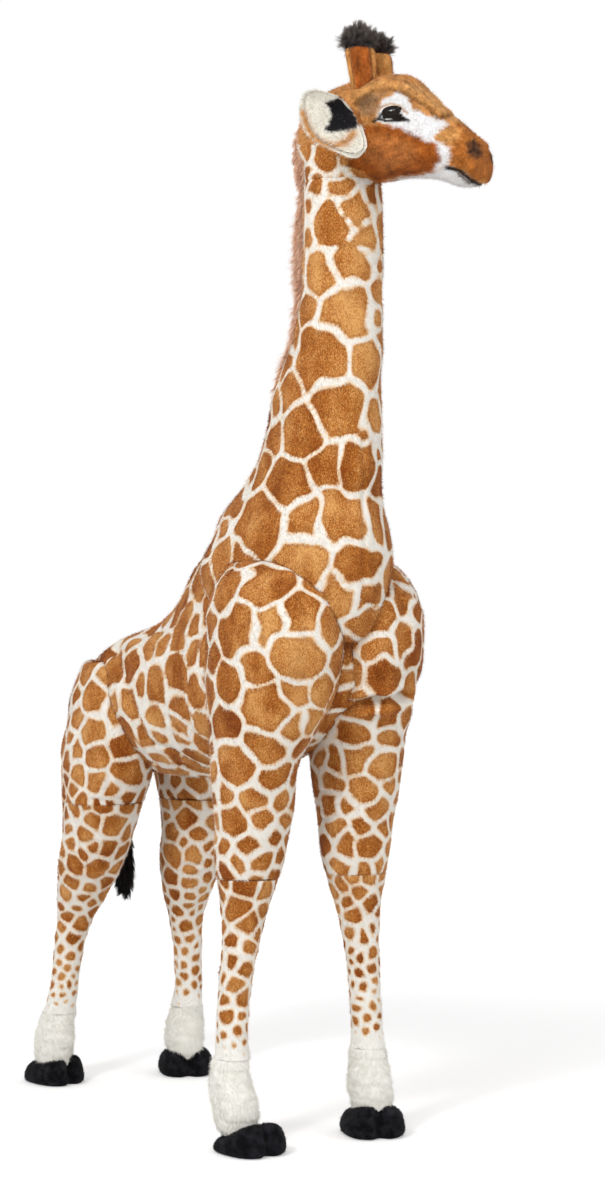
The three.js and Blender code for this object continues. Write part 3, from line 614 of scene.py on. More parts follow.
# The back runs up into the neck over the withers, the neck is drawn in behind, and a small lump carries the tail.
WITHERS_HALF_WIDTH, WITHERS_RISE, WITHERS_HEIGHTS = 95 * MM, 60 * MM, (0.58, 0.66)
WITHERS_RUN, WITHERS_SHARES = (-0.05, 0, 0.03, 0.06, 0.1, 0.14), (1, 1, 0.85, 0.56, 0.2, 0)
DOCK_RISE, DOCK_BEHIND, DOCK_RADIUS = 3 * MM, 6 * MM, 15 * MM
NAPE_HALF_WIDTH, NAPE_DRAWN, NAPE_HEIGHT, NAPE_REACH = 90 * MM, 14 * MM, 0.69, 38 * MM
points = places(torso)
ridge = (1 - (points[:, 0] / WITHERS_HALF_WIDTH) ** 2).clip(0) * np.interp(points[:, 2], WITHERS_HEIGHTS, (0, 1))
points[:, 2] += WITHERS_RISE * ridge * np.interp(points[:, 1], WITHERS_RUN, WITHERS_SHARES)
root_low, root_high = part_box("tail_root")
tail_at = (root_low + root_high) / 2
beneath = np.linalg.norm(points - np.array((0, rump_y, tail_at.z + DOCK_RISE)), axis=1)
points[:, 1] += (tail_at.y - rump_y + DOCK_BEHIND) * np.exp(-((beneath / DOCK_RADIUS) ** 2))
move_to(torso, points)
points = places(neck)
behind = ((points[:, 1] - front_y - NECK_BASE_Y) / NECK_BASE_LENGTH).clip(0, 1) ** 2
behind *= (1 - (points[:, 0] / NAPE_HALF_WIDTH) ** 2).clip(0)
points[:, 1] -= NAPE_DRAWN * behind * np.exp(-(((points[:, 2] - NAPE_HEIGHT) / NAPE_REACH) ** 2))
move_to(neck, points)

for name in ("front_right", "front_left"):
    cut_by(neck, uppers[name])
cut_by(torso, neck, *uppers.values())
for name in ("front", "hind"):
    cut_by(uppers[f"{name}_right"], uppers[f"{name}_left"])

# The print on the plush: brown patches with rust rims, parted by cream lines; large on the body, smaller and
# rounder down the legs, and none on the socks. Each place below is a patch that the picture shows, as
# its middle and its radius there; the far side gets their mirror images, and others fill what is left.
NECK_PATCHES = [
    (342, 184, 9), (314, 185, 7), (354, 209, 17), (373, 189, 8), (330, 224, 18), (310, 207, 6), (307, 238, 8),
    (368, 237, 12), (320, 273, 17), (352, 266, 17), (379, 266, 5), (347, 312, 26), (306, 308, 10),
    (378, 318, 5), (320, 356, 30), (368, 362, 18), (287, 390, 13), (336, 412, 27), (303, 433, 24),
    (376, 415, 9), (272, 441, 13), (287, 483, 22), (326, 463, 16), (360, 471, 20), (380, 460, 5),
    (251, 478, 6), (260, 519, 30), (308, 521, 17), (340, 516, 25), (376, 516, 14), (223, 526, 8),
    (303, 559, 20), (357, 566, 18), (221, 561, 14), (339, 594, 13), (365, 596, 11), (316, 597, 8),
]
SHOULDER_PATCHES = {
    "front_right": [
        (224, 588, 25), (266, 583, 25), (235, 629, 22), (267, 621, 15), (300, 615, 19), (333, 626, 16),
        (300, 658, 22), (254, 668, 16), (229, 683, 17), (206, 650, 12), (204, 696, 14), (264, 709, 24),
        (296, 693, 14), (326, 688, 10), (224, 723, 16), (292, 728, 12), (310, 723, 10), (193, 629, 8),
        (234, 768, 20), (267, 748, 18), (276, 777, 15), (203, 741, 9), (296, 771, 8), (303, 746, 8),
        (224, 793, 9), (253, 798, 13), (280, 798, 9), (231, 820, 14), (262, 823, 12), (275, 837, 6),
        (223, 848, 6), (250, 845, 10), (237, 862, 7), (262, 864, 9),
    ],
    "front_left": [
        (394, 572, 9), (381, 587, 8), (377, 617, 19), (353, 639, 7), (381, 650, 14), (351, 671, 13),
        (383, 674, 16), (356, 691, 8), (418, 607, 8), (418, 650, 12), (413, 690, 9), (359, 711, 12),
        (391, 715, 12), (349, 732, 14), (321, 725, 8), (355, 757, 14), (334, 761, 9), (330, 782, 10),
        (365, 789, 12), (385, 766, 12), (391, 737, 11), (391, 787, 8), (331, 805, 9), (350, 809, 8),
        (378, 811, 10), (334, 828, 8), (360, 825, 10), (382, 830, 6), (323, 845, 9), (347, 845, 9),
        (371, 846, 10), (341, 869, 9), (363, 874, 9), (378, 866, 6),
    ],
    "hind_right": [
        (92, 697, 15), (89, 731, 13), (123, 717, 12), (128, 744, 15), (131, 774, 16), (94, 756, 12),
        (95, 781, 10), (76, 772, 8), (70, 735, 7), (104, 660, 11), (75, 697, 7), (130, 676, 6),
        (116, 671, 16), (137, 710, 12), (66, 781, 6), (82, 802, 8), (98, 805, 7), (112, 808, 8),
        (125, 800, 7), (141, 797, 8), (70, 811, 8),
    ],
    "hind_left": [(175, 782, 10), (197, 785, 8), (181, 800, 11), (204, 809, 9), (170, 814, 8)],
}
SHANK_PATCHES = {
    "front_right": [
        (222, 873, 7), (245, 883, 14), (266, 892, 9), (235, 910, 12), (249, 923, 10), (224, 927, 6),
        (231, 943, 9), (250, 948, 8), (231, 960, 7), (246, 968, 9), (223, 978, 5), (234, 984, 9),
        (244, 998, 8), (224, 1000, 5), (227, 1017, 8), (242, 1016, 4), (239, 1031, 5), (224, 1035, 5),
        (233, 1046, 4), (244, 1055, 4), (226, 1062, 5), (218, 1053, 3),
    ],
    "front_left": [
        (341, 885, 7), (346, 902, 8), (352, 914, 9), (372, 905, 9), (350, 932, 5), (363, 936, 7),
        (372, 932, 6), (351, 951, 5), (361, 957, 6), (372, 953, 6), (358, 974, 6), (375, 981, 5),
        (363, 988, 6), (359, 998, 3.5), (356, 1008, 4), (372, 1006, 5), (379, 1000, 3), (366, 1018, 4.5),
        (383, 1015, 4), (365, 1031, 4.5), (356, 1040, 3.5), (374, 1041, 3), (380, 1039, 3), (363, 1050, 3.5),
    ],
    "hind_right": [
        (93, 822, 10), (116, 825, 14), (127, 834, 8), (68, 827, 6), (84, 835, 9), (72, 845, 7), (93, 845, 6),
        (107, 847, 10), (74, 863, 11), (98, 869, 13), (117, 869, 9), (71, 882, 9), (89, 888, 7),
        (106, 893, 10), (66, 893, 7), (85, 897, 6), (60, 905, 5), (76, 909, 4), (93, 912, 8), (81, 925, 10),
        (56, 921, 4), (56, 937, 5), (75, 937, 8), (81, 946, 5), (61, 949, 4), (68, 956, 5), (53, 956, 4),
        (66, 968, 5), (53, 971, 4), (78, 968, 4), (69, 984, 4), (52, 985, 4), (62, 994, 3.5), (75, 992, 4),
    ],
    "hind_left": [
        (186, 818, 11), (171, 832, 9), (197, 835, 8), (172, 854, 12), (193, 856, 11), (207, 845, 6),
        (190, 869, 6), (170, 879, 11), (189, 883, 8), (173, 892, 7), (191, 896, 6), (177, 911, 7),
        (193, 913, 4), (186, 926, 9), (190, 937, 7), (184, 949, 5), (197, 956, 4.5), (183, 964, 4),
        (196, 970, 5), (183, 975, 4), (194, 985, 4.5), (185, 993, 5),
    ],
}
TORSO_PATCHES = [
    (181, 628, 17), (175, 674, 17), (157, 685, 17), (149, 649, 14), (161, 647, 7), (139, 683, 6),
    (155, 717, 8), (116, 671, 16), (179, 710, 8), (179, 726, 8), (159, 739, 7), (182, 740, 7),
    (161, 758, 8), (132, 644, 6), (171, 615, 7), (179, 783, 8), (193, 629, 8), (206, 650, 12),
]


# How patches fill a skin: how near in their radii two may lie, how many places are tried, how much the usual
# radius varies, and the gap in that radius at which the skin is full
MIRROR_APART, PLACES_TRIED, PATCHES_MOST = 0.8, 5000, 500
RADIUS_VARIES, RADIUS_LEAST, GAP_FULL = (0.75, 1.2), 0.55, 0.95


def smooth_least(values, width):
    """The least of each row, rounded where two are close."""
    least = values.min(axis=1)
    return least - width * np.log(np.exp((least[:, None] - values) / width).sum(axis=1))


def marked_patches(skin, marks, line, flip, shared):
    """Middles and radii of the patches at the picture's marks, with their mirror images where there is room."""
    centres, radii = ([Vector(c) for c in shared[0]], list(shared[1])) if shared else ([], [])
    for px, py, radius in marks:
        found = on_skin(skin, px, py)
        if found:
            centres.append(found)
            radii.append(radius * PIXEL)
    if flip:
        for centre, radius in list(zip(centres, radii)):
            at = skin.find_nearest(Vector((-centre.x, centre.y, centre.z)))[0]
            if all((at - c).length > MIRROR_APART * (radius + r) + line for c, r in zip(centres, radii)):
                centres.append(at)
                radii.append(radius)
    return centres, radii


def fill_with_patches(centres, radii, points, line, heights, usual_radii, rng):
    """Adds patches of about the usual radius to the widest gaps, until no gap is left."""
    some = points[rng.permutation(len(points))[:PLACES_TRIED]]
    usual = np.interp(some[:, 2], heights, usual_radii)
    usual *= rng.uniform(*RADIUS_VARIES, len(some))
    room = np.full(len(some), 1.0)
    for centre, radius in zip(centres, radii):
        room = np.minimum(room, np.linalg.norm(some - np.array(centre), axis=1) - radius)
    while len(centres) < PATCHES_MOST:
        best = int(np.argmax(room / usual))
        if room[best] < GAP_FULL * usual[best]:
            break
        radius = min(usual[best], max(room[best] - line * 0.5, RADIUS_LEAST * usual[best]))
        centres.append(Vector(some[best]))
        radii.append(radius)
        room = np.minimum(room, np.linalg.norm(some - some[best], axis=1) - radius)
    return np.array([tuple(c) for c in centres]), np.array(radii)


# How uneven the print is: its tones, how far a patch's outline wanders, and how the cream line's width varies
TONE_SPREAD, TONE_DRIFT, TONE_ON_SHANKS, TONE_GOLDEN, TONE_MOST = 0.65, 0.3, 0.3, 1.1, 0.8
OUTLINE_WANDER, OUTLINE_WAVE, LINE_VARIES, LINE_WAVE = 0.19, 42 * MM, 0.28, 60 * MM
EDGE_ROUNDING, CORNER_ROUNDING = 0.8 * MM, 2 * MM
NEAREST, BATCH = 8, 20000  # patches that each point looks at, and points worked out at once
# Heights over the sock's seam between which the ground turns white, and over which the patches thin out
SHANK_PALE, SHANK_THIN = (0.02, 0.14), (0, 4 * MM, 26 * MM)


def print_patches(piece, marks, seed, line, spare, tight, flip=True, shared=None, golden=None, glow=60 * MM, ends=0):
    """Stores on a skin how far each point is inside its patch, in millimetres, and the patch's tone.
    Line is the cream line's width, spare the usual patch radius at two heights, tight how round they are.
    Shared patches run on from a neighbour's cloth, golden is a place round which the patches are made paler and glow
    how far round that, and it thins out above the height where it ends."""
    rng = np.random.default_rng(seed)
    points = places(piece)
    heights, usual_radii = zip(*spare)
    centres, radii = fill_with_patches(
        *marked_patches(bvh_of(piece), marks, line, flip, shared), points, line, heights, usual_radii, rng,
    )
    tones = TONE_SPREAD * rng.uniform(-1, 1, len(radii)) + TONE_DRIFT * ripple(centres, 300 * MM, 77)
    tones += TONE_ON_SHANKS if ends else 0
    if golden is not None:
        tones += TONE_GOLDEN * np.exp(-((np.linalg.norm(centres - np.array(golden), axis=1) / glow) ** 2))
    tones = tones.clip(-1, TONE_MOST)
    if shared:
        tones[:len(shared[2])] = shared[2]
    bent = points + OUTLINE_WANDER * np.interp(points[:, 2], heights, usual_radii)[:, None] * np.stack(
        [ripple(points, OUTLINE_WAVE, seed + k) for k in (50, 60, 70)], axis=1
    )
    inside, tone = np.empty(len(points)), np.empty(len(points))
    for start in range(0, len(points), BATCH):
        part = slice(start, start + BATCH)
        square = ((bent[part, None, :] - centres[None]) ** 2).sum(axis=2)
        power = square - radii**2
        order = np.argpartition(power, min(NEAREST, len(radii)) - 1, axis=1)[:, :NEAREST]
        others = np.take_along_axis(power, order, 1)
        first = np.take_along_axis(order, others.argmin(axis=1)[:, None], 1)
        own = np.take_along_axis(power, first, 1)
        apart = np.linalg.norm(centres[order] - centres[first], axis=2)
        border = np.where(order == first, 1.0, (others - own) / (2 * np.maximum(apart, 1e-4)))
        half_line = line / 2 * (1 + LINE_VARIES * ripple(points[part], LINE_WAVE, seed + 80))
        edge = smooth_least(border, EDGE_ROUNDING) - half_line
        reach = tight * radii[first[:, 0]] - np.sqrt(np.take_along_axis(square, first, 1)[:, 0])
        inside[part] = smooth_least(np.stack([edge, reach], axis=1), CORNER_ROUNDING)
        tone[part] = tones[first[:, 0]]
    over = points[:, 2] - ends
    store(piece, "pale", np.interp(over, SHANK_PALE, (1, 0)) if ends else np.zeros(len(points)))
    inside -= np.interp(over, SHANK_THIN, (9 * MM, 4 * MM, 0)) if ends else 0
    store(piece, "inside", inside / MM)
    store(piece, "tone", tone)
    return centres, radii, tones


def store(piece, key, values):
    """Puts a number or a colour at each point of a mesh, in place of what a neighbour's cut left there."""
    layers = piece.data.attributes
    if key in layers:
        layers.remove(layers[key])
    if values.ndim == 1:
        layers.new(key, "FLOAT", "POINT").data.foreach_set("value", values.astype(np.float32))
    else:
        full = np.concatenate([values, np.ones((len(values), 1))], axis=1).astype(np.float32)
        layers.new(key, "FLOAT_COLOR", "POINT").data.foreach_set("color", full.ravel())


def attribute(tree, name):
    return node(tree, "ShaderNodeAttribute", attribute_name=name).outputs["Fac"]


def arithmetic(tree, operation, *inputs, clamp=False):
    made = node(tree, "ShaderNodeMath", operation=operation, use_clamp=clamp)
    for place, given in enumerate(inputs):
        if isinstance(given, (int, float)):
            made.inputs[place].default_value = given
        else:
            tree.links.new(given, made.inputs[place])
    return made.outputs["Value"]


def remap(tree, given, low, high, new_low=0.0, new_high=1.0):
    """A smooth step from low to high, as a step from new_low to new_high."""
    inputs = {1: low, 2: high, 3: new_low, 4: new_high}
    made = node(tree, "ShaderNodeMapRange", inputs, interpolation_type="SMOOTHSTEP")
    tree.links.new(given, made.inputs[0])
    return made.outputs[0]


def blend_colours(tree, share, one, other, kind="MIX"):
    made = node(tree, "ShaderNodeMix", data_type="RGBA", blend_type=kind)
    for key, given in ((0, share), (6, one), (7, other)):
        if isinstance(given, bpy.types.NodeSocket):
            tree.links.new(given, made.inputs[key])
        else:
            made.inputs[key].default_value = (*given, 1) if isinstance(given, tuple) else given
    return made.outputs[2]


CREAM = (0.8, 0.76, 0.7)
SOCK_WHITE = (0.84, 0.825, 0.775)
TAN_HALO = (0.74, 0.47, 0.22)
RUST, BROWN, GOLD = (0.21, 0.045, 0.004), (0.42, 0.14, 0.021), (0.68, 0.36, 0.12)


def soft_finish(name, paint, sheen=0.06):
    """Matt fibres with a little sheen and their fine tumble as bump, in the colour that paint makes."""
    made, tree, shader = new_material(
        name, Roughness=0.95, Specular_IOR_Level=0.15, Sheen_Weight=sheen, Sheen_Roughness=0.5,
    )
    tree.links.new(paint(tree), shader.inputs["Base Color"])
    bump(tree, shader, noise_field(tree, 900, stretch=(1, 1, 0.45)), 0.6 * MM)
    return made


def printed_colour(tree):
    """Cream ground with the patches on it, from the print's attributes."""
    ragged = arithmetic(tree, "MULTIPLY_ADD", noise_field(tree, 420), 3.0, -1.5)
    edge = arithmetic(tree, "ADD", attribute(tree, "inside"), ragged)
    clouds = arithmetic(tree, "MULTIPLY", noise_field(tree, 34, stretch=(1, 1, 0.6)), 0.55)
    fleck = noise_field(tree, 760, detail=5.0, stretch=(1, 1, 0.7))
    worn = arithmetic(tree, "MULTIPLY_ADD", attribute(tree, "tone"), 0.12, arithmetic(
        tree, "ADD", arithmetic(tree, "MULTIPLY_ADD", attribute(tree, "grain"), 0.09, clouds),
        arithmetic(tree, "MULTIPLY_ADD", fleck, 0.85, -0.2),
    ))
    patch = ramp(tree, worn, (0.33, RUST), (0.5, BROWN), (0.7, GOLD))
    rim = remap(tree, arithmetic(tree, "MULTIPLY_ADD", noise_field(tree, 130), 9.0, edge), 11.0, 3.0, 0.0, 0.4)
    ground = blend_colours(tree, attribute(tree, "pale"), CREAM, SOCK_WHITE)
    ground = blend_colours(tree, remap(tree, edge, -2.6, -0.2, 0.0, 0.8), ground, TAN_HALO)
    return blend_colours(tree, remap(tree, edge, -0.6, 1.0), ground, blend_colours(tree, rim, patch, RUST))


printed = soft_finish("printed_plush", printed_colour)


def dress(piece, material):
    piece.data.materials.clear()
    piece.data.materials.append(material)


def unit(ways):
    return ways / np.maximum(np.linalg.norm(ways, axis=1), 1e-6)[:, None]


def triangles(skin):
    """The corners of a skin's triangles, and twice their areas."""
    skin.data.calc_loop_triangles()
    corners = numbers(skin.data.loop_triangles, "vertices", kind=np.int32)
    a, b, c = (places(skin)[corners[:, k]] for k in range(3))
    return corners, np.linalg.norm(np.cross(b - a, c - a), axis=1)


def strands(name, skin, points, faces):
    """A piece of bare triangles in its skin's material."""
    mesh = bpy.data.meshes.new(name)
    mesh.vertices.add(len(points))
    mesh.loops.add(faces.size)
    mesh.polygons.add(len(faces))
    mesh.vertices.foreach_set("co", points.astype(np.float32).ravel())
    mesh.loops.foreach_set("vertex_index", faces.astype(np.int32).ravel())
    mesh.polygons.foreach_set("loop_start", np.arange(0, faces.size, 3, dtype=np.int32))
    mesh.update(calc_edges=True)
    made = linked(name, mesh)
    if skin.data.materials:
        dress(made, skin.data.materials[0])
    return made


# The pile: how its lengths vary, how deep it is rooted and how far it keeps off the floor, how its lean varies in
# degrees, and how much its comb wanders, over what distance, and strays from fibre to fibre
FIBRE_LENGTHS, FIBRE_ROOT, FIBRE_OFF_FLOOR = (0.7, 1.2), 0.4 * MM, 0.2 * MM
LEAN_VARIES, COMB_WANDER, COMB_WAVE, COMB_STRAY = 9, 0.5, 70 * MM, 0.35


def pile(name, skin, thick, length, width, comb=(0, 0, -1), lean=66, seed=1, keep=None):
    """Short fibres standing in a skin, so thick to the square metre, combed one way and leaning so many degrees.
    Each is a flat blade that carries what its root's place stores on the skin."""
    corners, area = triangles(skin)
    area /= 2
    rng = np.random.default_rng(seed)
    count = int(area.sum() * thick)
    face = np.searchsorted(np.cumsum(area), rng.uniform(0, area.sum(), count)).clip(0, len(area) - 1)
    share = rng.dirichlet((1, 1, 1), count)
    own = corners[face]

    def at_root(values):
        return sum(values[own[:, k]] * share[:, k, None] for k in range(3))

    root, up = at_root(places(skin)), at_root(facings(skin))
    up /= np.linalg.norm(up, axis=1)[:, None]
    chosen = np.ones(count, bool) if keep is None else keep(root)
    flow = comb(root) if callable(comb) else np.tile(comb, (count, 1))
    flow = flow + COMB_WANDER * np.stack([ripple(root, COMB_WAVE, seed + k) for k in (1, 2, 3)], axis=1)
    flow = unit(flow - (flow * up).sum(axis=1)[:, None] * up)
    flow = flow + COMB_STRAY * rng.normal(size=(count, 3))
    tilt = np.radians(lean + rng.normal(0, LEAN_VARIES, count))[:, None]
    way = unit(up * np.cos(tilt) + flow * np.sin(tilt))
    side = unit(np.cross(way, up)) * width / 2
    long = length * rng.uniform(*FIBRE_LENGTHS, count)[:, None]
    foot = root - up * FIBRE_ROOT
    blades = np.stack([foot - side, foot + side, foot + way * long], axis=1)[chosen]
    blades[:, :, 2] = np.maximum(blades[:, :, 2], FIBRE_OFF_FLOOR)
    made = strands(name, skin, blades.reshape(-1, 3), np.arange(len(blades) * 3).reshape(-1, 3))
    for layer in skin.data.attributes:
        if layer.domain == "POINT" and layer.data_type in ("FLOAT", "FLOAT_COLOR"):
            key, width = ("value", 1) if layer.data_type == "FLOAT" else ("color", 4)
            values = np.repeat(at_root(numbers(layer.data, key, width))[chosen], 3, axis=0)
            store(made, layer.name, values[:, 0] if width == 1 else values[:, :3])
    store(made, "grain", np.repeat(rng.uniform(-1, 1, len(blades)), 3))
    return made


def hand_in(skin, others, slot, replaced, fill, *bodies, **turn):
    """Hangs a skin and what stands on it from the body that carries them, or bends them between the two given,
    and hides the CAD nodes that they replace. The slot is not used. How full the skin is stuffed is not used."""
    for piece in (skin, *others):
        if turn:
            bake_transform(piece, *bodies, **turn)
        else:
            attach(piece, *bodies)
    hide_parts(*replaced)


BODY_PILE = {"thick": 400000, "length": 4.3 * MM, "width": 0.8 * MM}
print_patches(torso, TORSO_PATCHES, 21, 8.5 * MM, ((0.42, 17 * MM), (0.7, 22 * MM)), 2.2)
neck_print = print_patches(
    neck, NECK_PATCHES, 22, 9 * MM, ((0.7, 24 * MM), (1.15, 16 * MM)), 2.2,
    golden=on_skin(bvh_of(neck), 340, 340), glow=120 * MM,
)
golden_places = {
    "front": on_skin(bvh_of(uppers["front_right"]), 285, 668), "hind": on_skin(bvh_of(uppers["hind_right"]), 82, 722),
}
for order, name in enumerate(LEGS):
    print_patches(
        uppers[name], SHOULDER_PATCHES[name], 30 + order, 8 * MM, ((0.32, 12 * MM), (0.65, 22 * MM)), 2, flip=False,
        golden=golden_places[name.split("_")[0]],
    )
    print_patches(
        lowers[name], SHANK_PATCHES[name], 40 + order, 6 * MM, ((0.11, 6.5 * MM), (0.38, 14 * MM)), 1.5, flip=False,
        ends=LEG_SIZES[name.split("_")[0]]["sock"] * MM,
    )

replaced = {torso: ("torso_cover", "torso_filling"), neck: ("neck_cover", "neck_filling")}
for name in LEGS:
    replaced[uppers[name]] = f"{name}_upper_leg_cover", f"{name}_leg_filling"
    replaced[lowers[name]] = (f"{name}_lower_leg_cover",)
neck_twist = {"start": Vector((0, front_y + NECK_Y, 0.9)), "end": Vector((0, front_y + NECK_Y, neck_top))}
for order, (skin, nodes) in enumerate(replaced.items()):
    dress(skin, printed)
    fibres = pile(f"{skin.name}_pile", skin, seed=100 + order, **BODY_PILE)
    if skin is neck:
        hand_in(skin, [fibres], "patterned_fur", nodes, 0.9, "root", "head", **neck_twist)
    else:
        hand_in(skin, [fibres], "patterned_fur", nodes, 0.9, "root")

# Socks and hooves in their own plush: a long white pile, hardly yellow, and a short black one. A hoof's pile
# leaves its sole bare.
cream = soft_finish("cream_plush", lambda tree: ramp(
    tree, arithmetic(tree, "MULTIPLY_ADD", attribute(tree, "grain"), 0.08, noise_field(tree, 60)),
    (0.3, (0.8, 0.785, 0.72)), (0.6, (0.85, 0.84, 0.785)),
))
black = soft_finish("black_plush", lambda tree: ramp(
    tree, noise_field(tree, 90), (0.42, (0.0008, 0.0008, 0.0014)), (0.72, (0.017, 0.016, 0.021)),
), sheen=0.015)
for order, name in enumerate(LEGS):
    for piece, material, slot, kind, thick, length, keep in (
        (socks[name], cream, "cream_fur", "sock", 420000, 6 * MM, None),
        (hooves[name], black, "black_fur", "hoof", 500000, 3.5 * MM, lambda root: root[:, 2] > 3 * MM),
    ):
        dress(piece, material)
        fibres = pile(f"{piece.name}_pile", piece, thick, length, 0.8 * MM, seed=120 + order, keep=keep)
        hand_in(piece, [fibres], slot, [f"{name}_{kind}"], 0.9, "root")

# Head: one stuffed form of plush, skull and muzzle, with a collar that carries the neck on. It is turned to
# the animal's left. A padded roll runs from behind the horns over the brow to the nose; the face is airbrushed.
HEAD_TURN = math.radians(28.7)
HEAD_BACK, HEAD_SNOUT, HEAD_HALF_WIDTH = 52 * MM, 192 * MM, 51 * MM
JAW, CROWN, CHIN_DROP = 1147 * MM, 1271 * MM, 16 * MM
head_frame = Matrix.Translation((0, front_y + NECK_Y, 0)) @ Matrix.Rotation(HEAD_TURN, 4, "Z")
head_turned = head_frame.to_3x3()
# Each row: share of the way from back to snout, of the half width, of the height from below and from above,
# and of the chin's drop
HEAD_ROWS = [
    (0, 0.35, 0.35, 0.35, 0), (0.045, 0.7, 0.16, 0.2, 0), (0.12, 0.87, 0.04, 0.12, 0), (0.25, 0.98, 0, 0.05, 0),
    (0.42, 1, 0, 0.01, 0), (0.575, 0.94, 0.015, 0.04, 0), (0.64, 0.87, 0, 0.13, 0), (0.7, 0.78, 0, 0.275, 0.1),
    (0.79, 0.67, 0, 0.415, 0.5), (0.87, 0.59, 0, 0.54, 0.95), (0.945, 0.54, 0, 0.68, 0.95),
    (0.982, 0.38, 0, 0.82, 0.5), (0.994, 0.2, 0.03, 0.87, 0),
]


def head_ring(row):
    along, width, below, above, chin = row
    height = CROWN - JAW
    low, high = JAW + height * below - CHIN_DROP * chin, CROWN - height * above
    at = Vector((0, mix(HEAD_BACK, -HEAD_SNOUT, along), (low + high) / 2))
    return at, Vector((HEAD_HALF_WIDTH * width, 0, 0)), Vector((0, 0, (high - low) / 2))


COLLAR_HEIGHTS = (neck_top - 3 * MM, neck_top, neck_top + 4 * MM, neck_top + 20 * MM, 1.19, 1.2)
head = loft("head", [head_ring(row) for row in fair(HEAD_ROWS)], sides=40, levels=1)
collar_rings = [level_ring(0, 0, z, NECK_RADIUS, NECK_RADIUS) for z in COLLAR_HEIGHTS]
combine(head, loft("collar", collar_rings, sides=40, levels=1), "UNION")
even = head.modifiers.new("even", "REMESH")
even.mode, even.voxel_size, even.adaptivity = "VOXEL", 2.4 * MM, 0
soften = head.modifiers.new("soften", "SMOOTH")
soften.factor, soften.iterations = 0.5, 6
settle(head)
head.data.transform(head_frame)


def from_head(x, forward, z):
    """A place in the head's own frame: across to its left, forward from the neck's axis, and height."""
    return head_frame @ Vector((x, -forward, z))


def in_head(points):
    back = np.array(head_frame.inverted())
    return points @ back[:3, :3].T + back[:3, 3]


def near_side(points):
    """The same points, those left of the head's middle mirrored to its right, which the camera sees."""
    local = in_head(points)
    local[:, 0] = -abs(local[:, 0])
    forth = np.array(head_frame)
    return local @ forth[:3, :3].T + forth[:3, 3]


def bulge(piece, centre, radii, height):
    """Moves a skin out, or in where height is negative, round a place on both sides of the head, in mm."""
    points, normals = places(piece), facings(piece)
    total = np.zeros(len(points))
    for flip in (-1, 1):
        away = (in_head(points) - np.array((centre[0] * flip, -centre[1], centre[2])) * MM) / (np.array(radii) * MM)
        total += height * MM * np.exp(-(away**2).sum(axis=1))
    move_to(piece, points + normals * total[:, None])


# Each row, in mm: a place on the head's right side, how far round it the skin moves, and how far out
for centre, radii, height in (
    ((-41, 89, 1219), (20, 17, 11), -3),  # the eye's hollow
    ((-40, 84, 1236), (20, 22, 8), 4),  # brow
    ((-42, 70, 1187), (20, 32, 20), 4),  # cheek
    ((-26, 150, 1168), (14, 22, 14), 3),  # lip
    ((-12, 186, 1180), (10, 10, 8), 3),  # the nostril's rim and its hole
    ((-16, 188, 1177), (6, 5, 3.5), -3.5),
):
    bulge(head, centre, radii, height)


def pull(piece, px, py, radius, right, down):
    """Pushes both sides of a piece of the head, near a place in the picture, by its pixels right and down."""
    points = places(piece)
    share = np.exp(-((np.linalg.norm(seen(near_side(points)) - (px, py), axis=1) / radius) ** 2))[:, None]
    way = np.array(aside * right - Vector((0, 0, down))) @ np.array(head_turned) * PIXEL
    ways = np.tile(way, (len(points), 1))
    ways[:, 0] *= -np.tanh(in_head(points)[:, 0] / (8 * MM))
    move_to(piece, points + (ways * share) @ np.array(head_turned).T)


HEAD_VIEW, HEAD_VIEW_SCALE = (295, 60), 7.65  # where the enlargement of the head starts, and by how much


def enlarged(*spots):
    """Places measured on an enlargement of the head, as places in the picture."""
    return np.array(HEAD_VIEW) + np.array(spots) / HEAD_VIEW_SCALE


MOUTH = enlarged((1165, 825), (1250, 840), (1340, 910), (1420, 955))


def beside(points, path):
    """How far each picture place is from a path of places, in pixels."""
    near = np.full(len(points), np.inf)
    for one, other in zip(path, path[1:]):
        run = other - one
        along = np.clip(((points - one) @ run) / (run @ run), 0, 1)
        near = np.minimum(near, np.linalg.norm(points - one - along[:, None] * run, axis=1))
    return near


def within(points, outline, soft):
    """How much each picture place is within an outline, from 0 to 1, fading over soft pixels."""
    closed = np.concatenate([outline, outline[:1]])
    inside = np.zeros(len(points), bool)
    for (x0, y0), (x1, y1) in zip(closed, closed[1:]):
        crosses = (y0 > points[:, 1]) != (y1 > points[:, 1])
        with np.errstate(divide="ignore", invalid="ignore"):
            inside ^= crosses & (points[:, 0] < (x1 - x0) * (points[:, 1] - y0) / (y1 - y0) + x0)
    far = beside(points, closed) * np.where(inside, 1, -1)
    share = np.clip(far / (2 * soft) + 0.5, 0, 1)
    return share * share * (3 - 2 * share)


def press(piece, path, depth, width):
    """Presses a line into both sides of the head along picture places."""
    points, normals = places(piece), facings(piece)
    far = beside(seen(near_side(points)), path)
    move_to(piece, points - normals * (depth * np.exp(-((far / width) ** 2)))[:, None])


# The brow, the muzzle's tip and the back of the head
for outline_pull in ((415, 84, 26, 0, -2.5), (490, 168, 16, -4, 0), (298, 122, 18, 4, 0)):
    pull(head, *outline_pull)
press(head, MOUTH, 3 * MM, 1.5)
ROLL_EDGE = enlarged((470, 330), (600, 230), (740, 215), (830, 240), (1000, 340), (1100, 440), (1180, 420))
press(head, ROLL_EDGE, 4 * MM, 2.6)
press(head, ROLL_EDGE - (0, 6), -2.5 * MM, 4)
refine(head, 1)

# Where each point of the head shows, and the same a little astray, so that the airbrushed edges wander
head_points = places(head)
right = near_side(head_points)
exact = seen(right)
picture = exact + np.stack([
    0.9 * ripple(right, 14 * MM, seed) + 0.6 * ripple(right, 5 * MM, seed + 1) for seed in (81, 83)
], axis=1)
coat = np.tile(np.array((0.55, 0.25, 0.075)), (len(head_points), 1))


def lay(colour, share):
    coat[:] = coat * (1 - share[:, None]) + np.array(colour) * share[:, None]


